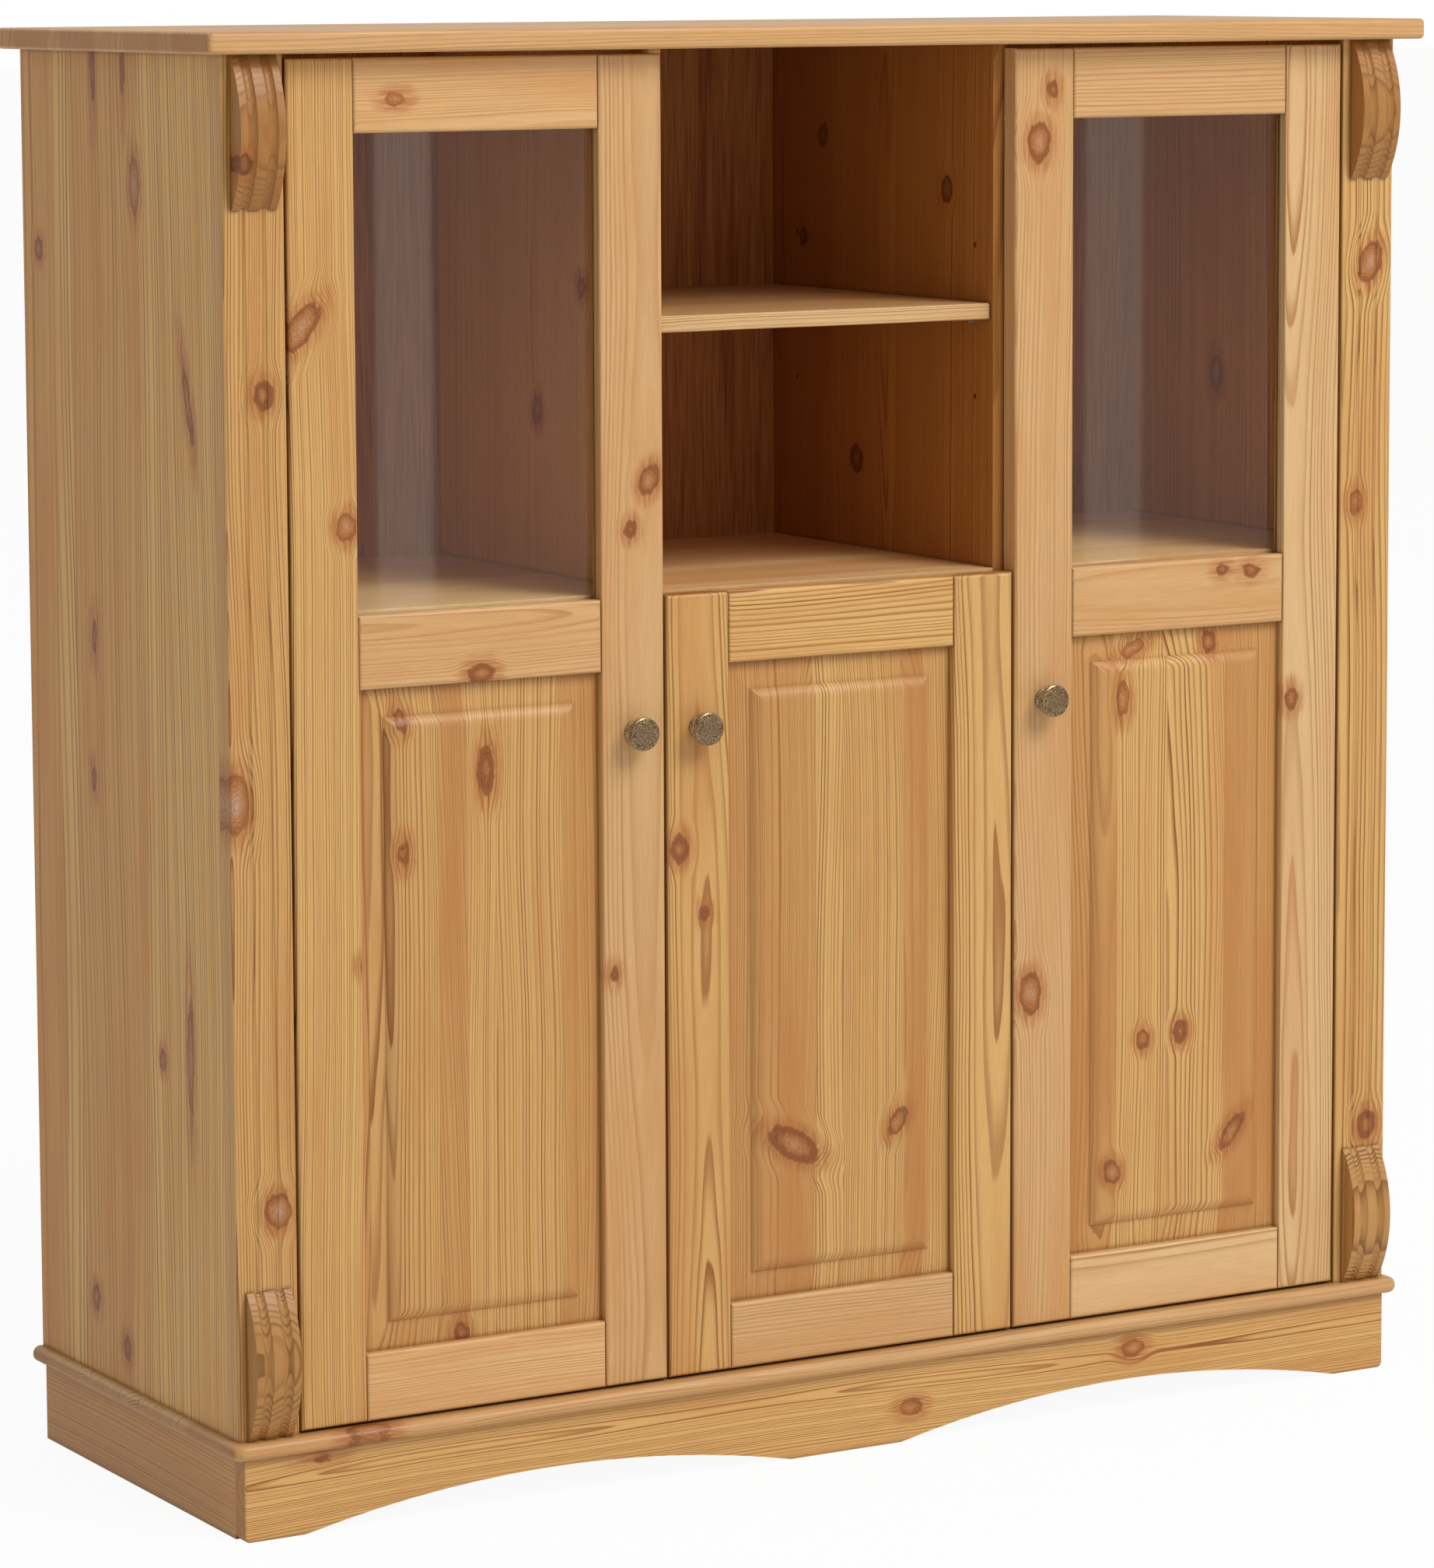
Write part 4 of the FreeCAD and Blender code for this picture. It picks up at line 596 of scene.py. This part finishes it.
# A broad key from the front right and above, and two strip lamps for the panes to mirror.
AIM = Vector((0.0, 0.0, 0.65))
KEY_REACH = Vector((2.2, -5.0, 5.6))
KEY_WIDTH = 3.6
KEY_POWER = 360.0
STRIP_SPANS = (("left_strip_lamp", 1.594, 1.695), ("right_strip_lamp", 2.951, 3.067))
STRIP_Y = -4.177
STRIP_HEIGHT = 1.8
STRIP_POWER = 0.42
STRIP_COLOUR = "#FFF2E4"
LAMPS = [("key_soft_box", AIM + KEY_REACH, -KEY_REACH, KEY_WIDTH, KEY_WIDTH, KEY_POWER, WHITE)]
for name, left, right in STRIP_SPANS:
    place = Vector(((left + right) / 2, STRIP_Y, STRIP_HEIGHT / 2))
    LAMPS.append((name, place, Vector((0.0, 1.0, 0.0)), right - left, STRIP_HEIGHT, STRIP_POWER, STRIP_COLOUR))
for name, place, towards, width, height, power, colour in LAMPS:
    lamp = bpy.data.lights.new(name, "AREA")
    lamp.shape = "RECTANGLE"
    lamp.size = width
    lamp.size_y = height
    lamp.energy = power
    lamp.color = linear(colour)[:3]
    soft_box = bpy.data.objects.new(name, lamp)
    soft_box.location = place
    soft_box.rotation_euler = towards.to_track_quat("-Z", "Y").to_euler()
    soft_box.visible_camera = False
    bpy.context.collection.objects.link(soft_box)

# A white dome lights every hollow softly. It looks white itself. The panes and knobs mirror a dimmer, warm room
# in front of the object, and a less dim one behind it.
DOME = 0.5
DOME_FRONT = 0.3
FRONT_MIRRORED = 0.35
FRONT_THROUGH = 0.93
REAR_MIRRORED = 0.6
ROOM = "#FFDDD4"


def mirrored_room(holder, in_front, plain):
    """What rays meet: whether they were mirrored or refracted, the light's level, and its colour.

    Plain is the level for all other rays.
    """
    rays = add(holder, "LightPath")
    mirrored = add(holder, "MapRange", {0: in_front, 3: REAR_MIRRORED, 4: FRONT_MIRRORED})[0]
    through = add(holder, "MapRange", {0: in_front, 3: 1.0, 4: FRONT_THROUGH})[0]
    level = add(holder, "Mix", {0: rays["Is Glossy Ray"], 2: plain, 3: mirrored}, data_type="FLOAT")[0]
    level = add(holder, "Mix", {0: rays["Is Transmission Ray"], 2: level, 3: through}, data_type="FLOAT")[0]
    turned = add(holder, "Math", {0: rays["Is Glossy Ray"], 1: rays["Is Transmission Ray"]}, operation="MAXIMUM")[0]
    warm = add(holder, "Math", {0: turned, 1: in_front}, operation="MULTIPLY")[0]
    colour = add(holder, "Mix", {0: warm, 6: linear(WHITE), 7: linear(ROOM)}, data_type="RGBA")[2]
    return turned, level, colour


world = bpy.data.worlds.new("studio")
bpy.context.scene.world = world
world.use_nodes = True
world.node_tree.nodes.clear()
towards = add(world, "SeparateXYZ", {0: add(world, "TexCoord")["Generated"]})[Y_AXIS]
in_front = add(world, "MapRange", {0: towards, 1: -DOME_FRONT, 2: DOME_FRONT, 3: 1.0, 4: 0.0})[0]
seen = add(world, "LightPath")["Is Camera Ray"]
plain = add(world, "Mix", {0: seen, 2: DOME, 3: 1.0}, data_type="FLOAT")[0]
_, level, colour = mirrored_room(world, in_front, plain)
add(world, "OutputWorld", {0: add(world, "Background", {0: colour, 1: level})[0]})

# White paper on the floor: it looks white like the dome and keeps the object's shadow.
FLOOR_REACH = 60.0
FLOOR_FRONT = -3.0
SHADOW_SHARE = 0.06
PAPER = "#F4F4F2"
floor_mesh = bpy.data.meshes.new("floor")
shape = bmesh.new()
bmesh.ops.create_grid(shape, x_segments=1, y_segments=1, size=FLOOR_REACH)
shape.to_mesh(floor_mesh)
shape.free()
floor = bpy.data.objects.new("floor", floor_mesh)
bpy.context.collection.objects.link(floor)
paper = new_material("white_paper")
place = add(paper, "SeparateXYZ", {0: add(paper, "TexCoord")["Object"]})[Y_AXIS]
in_front = add(paper, "MapRange", {0: place, 1: FLOOR_FRONT, 2: 0.0, 3: 1.0, 4: 0.0})[0]
turned, level, colour = mirrored_room(paper, in_front, 1.0)
seen = add(paper, "Math", {0: turned, 1: add(paper, "LightPath")["Is Camera Ray"]}, operation="MAXIMUM")[0]
share = add(paper, "Math", {0: seen, 1: 1 - SHADOW_SHARE}, operation="MULTIPLY")[0]
matt = add(paper, "BsdfDiffuse", {0: linear(PAPER)})[0]
glow = add(paper, "Emission", {0: colour, 1: level})[0]
add(paper, "OutputMaterial", {0: add(paper, "MixShader", {0: share, 1: matt, 2: glow})[0]})
floor_mesh.materials.append(paper)

bpy.context.scene.view_settings.view_transform = "Standard"
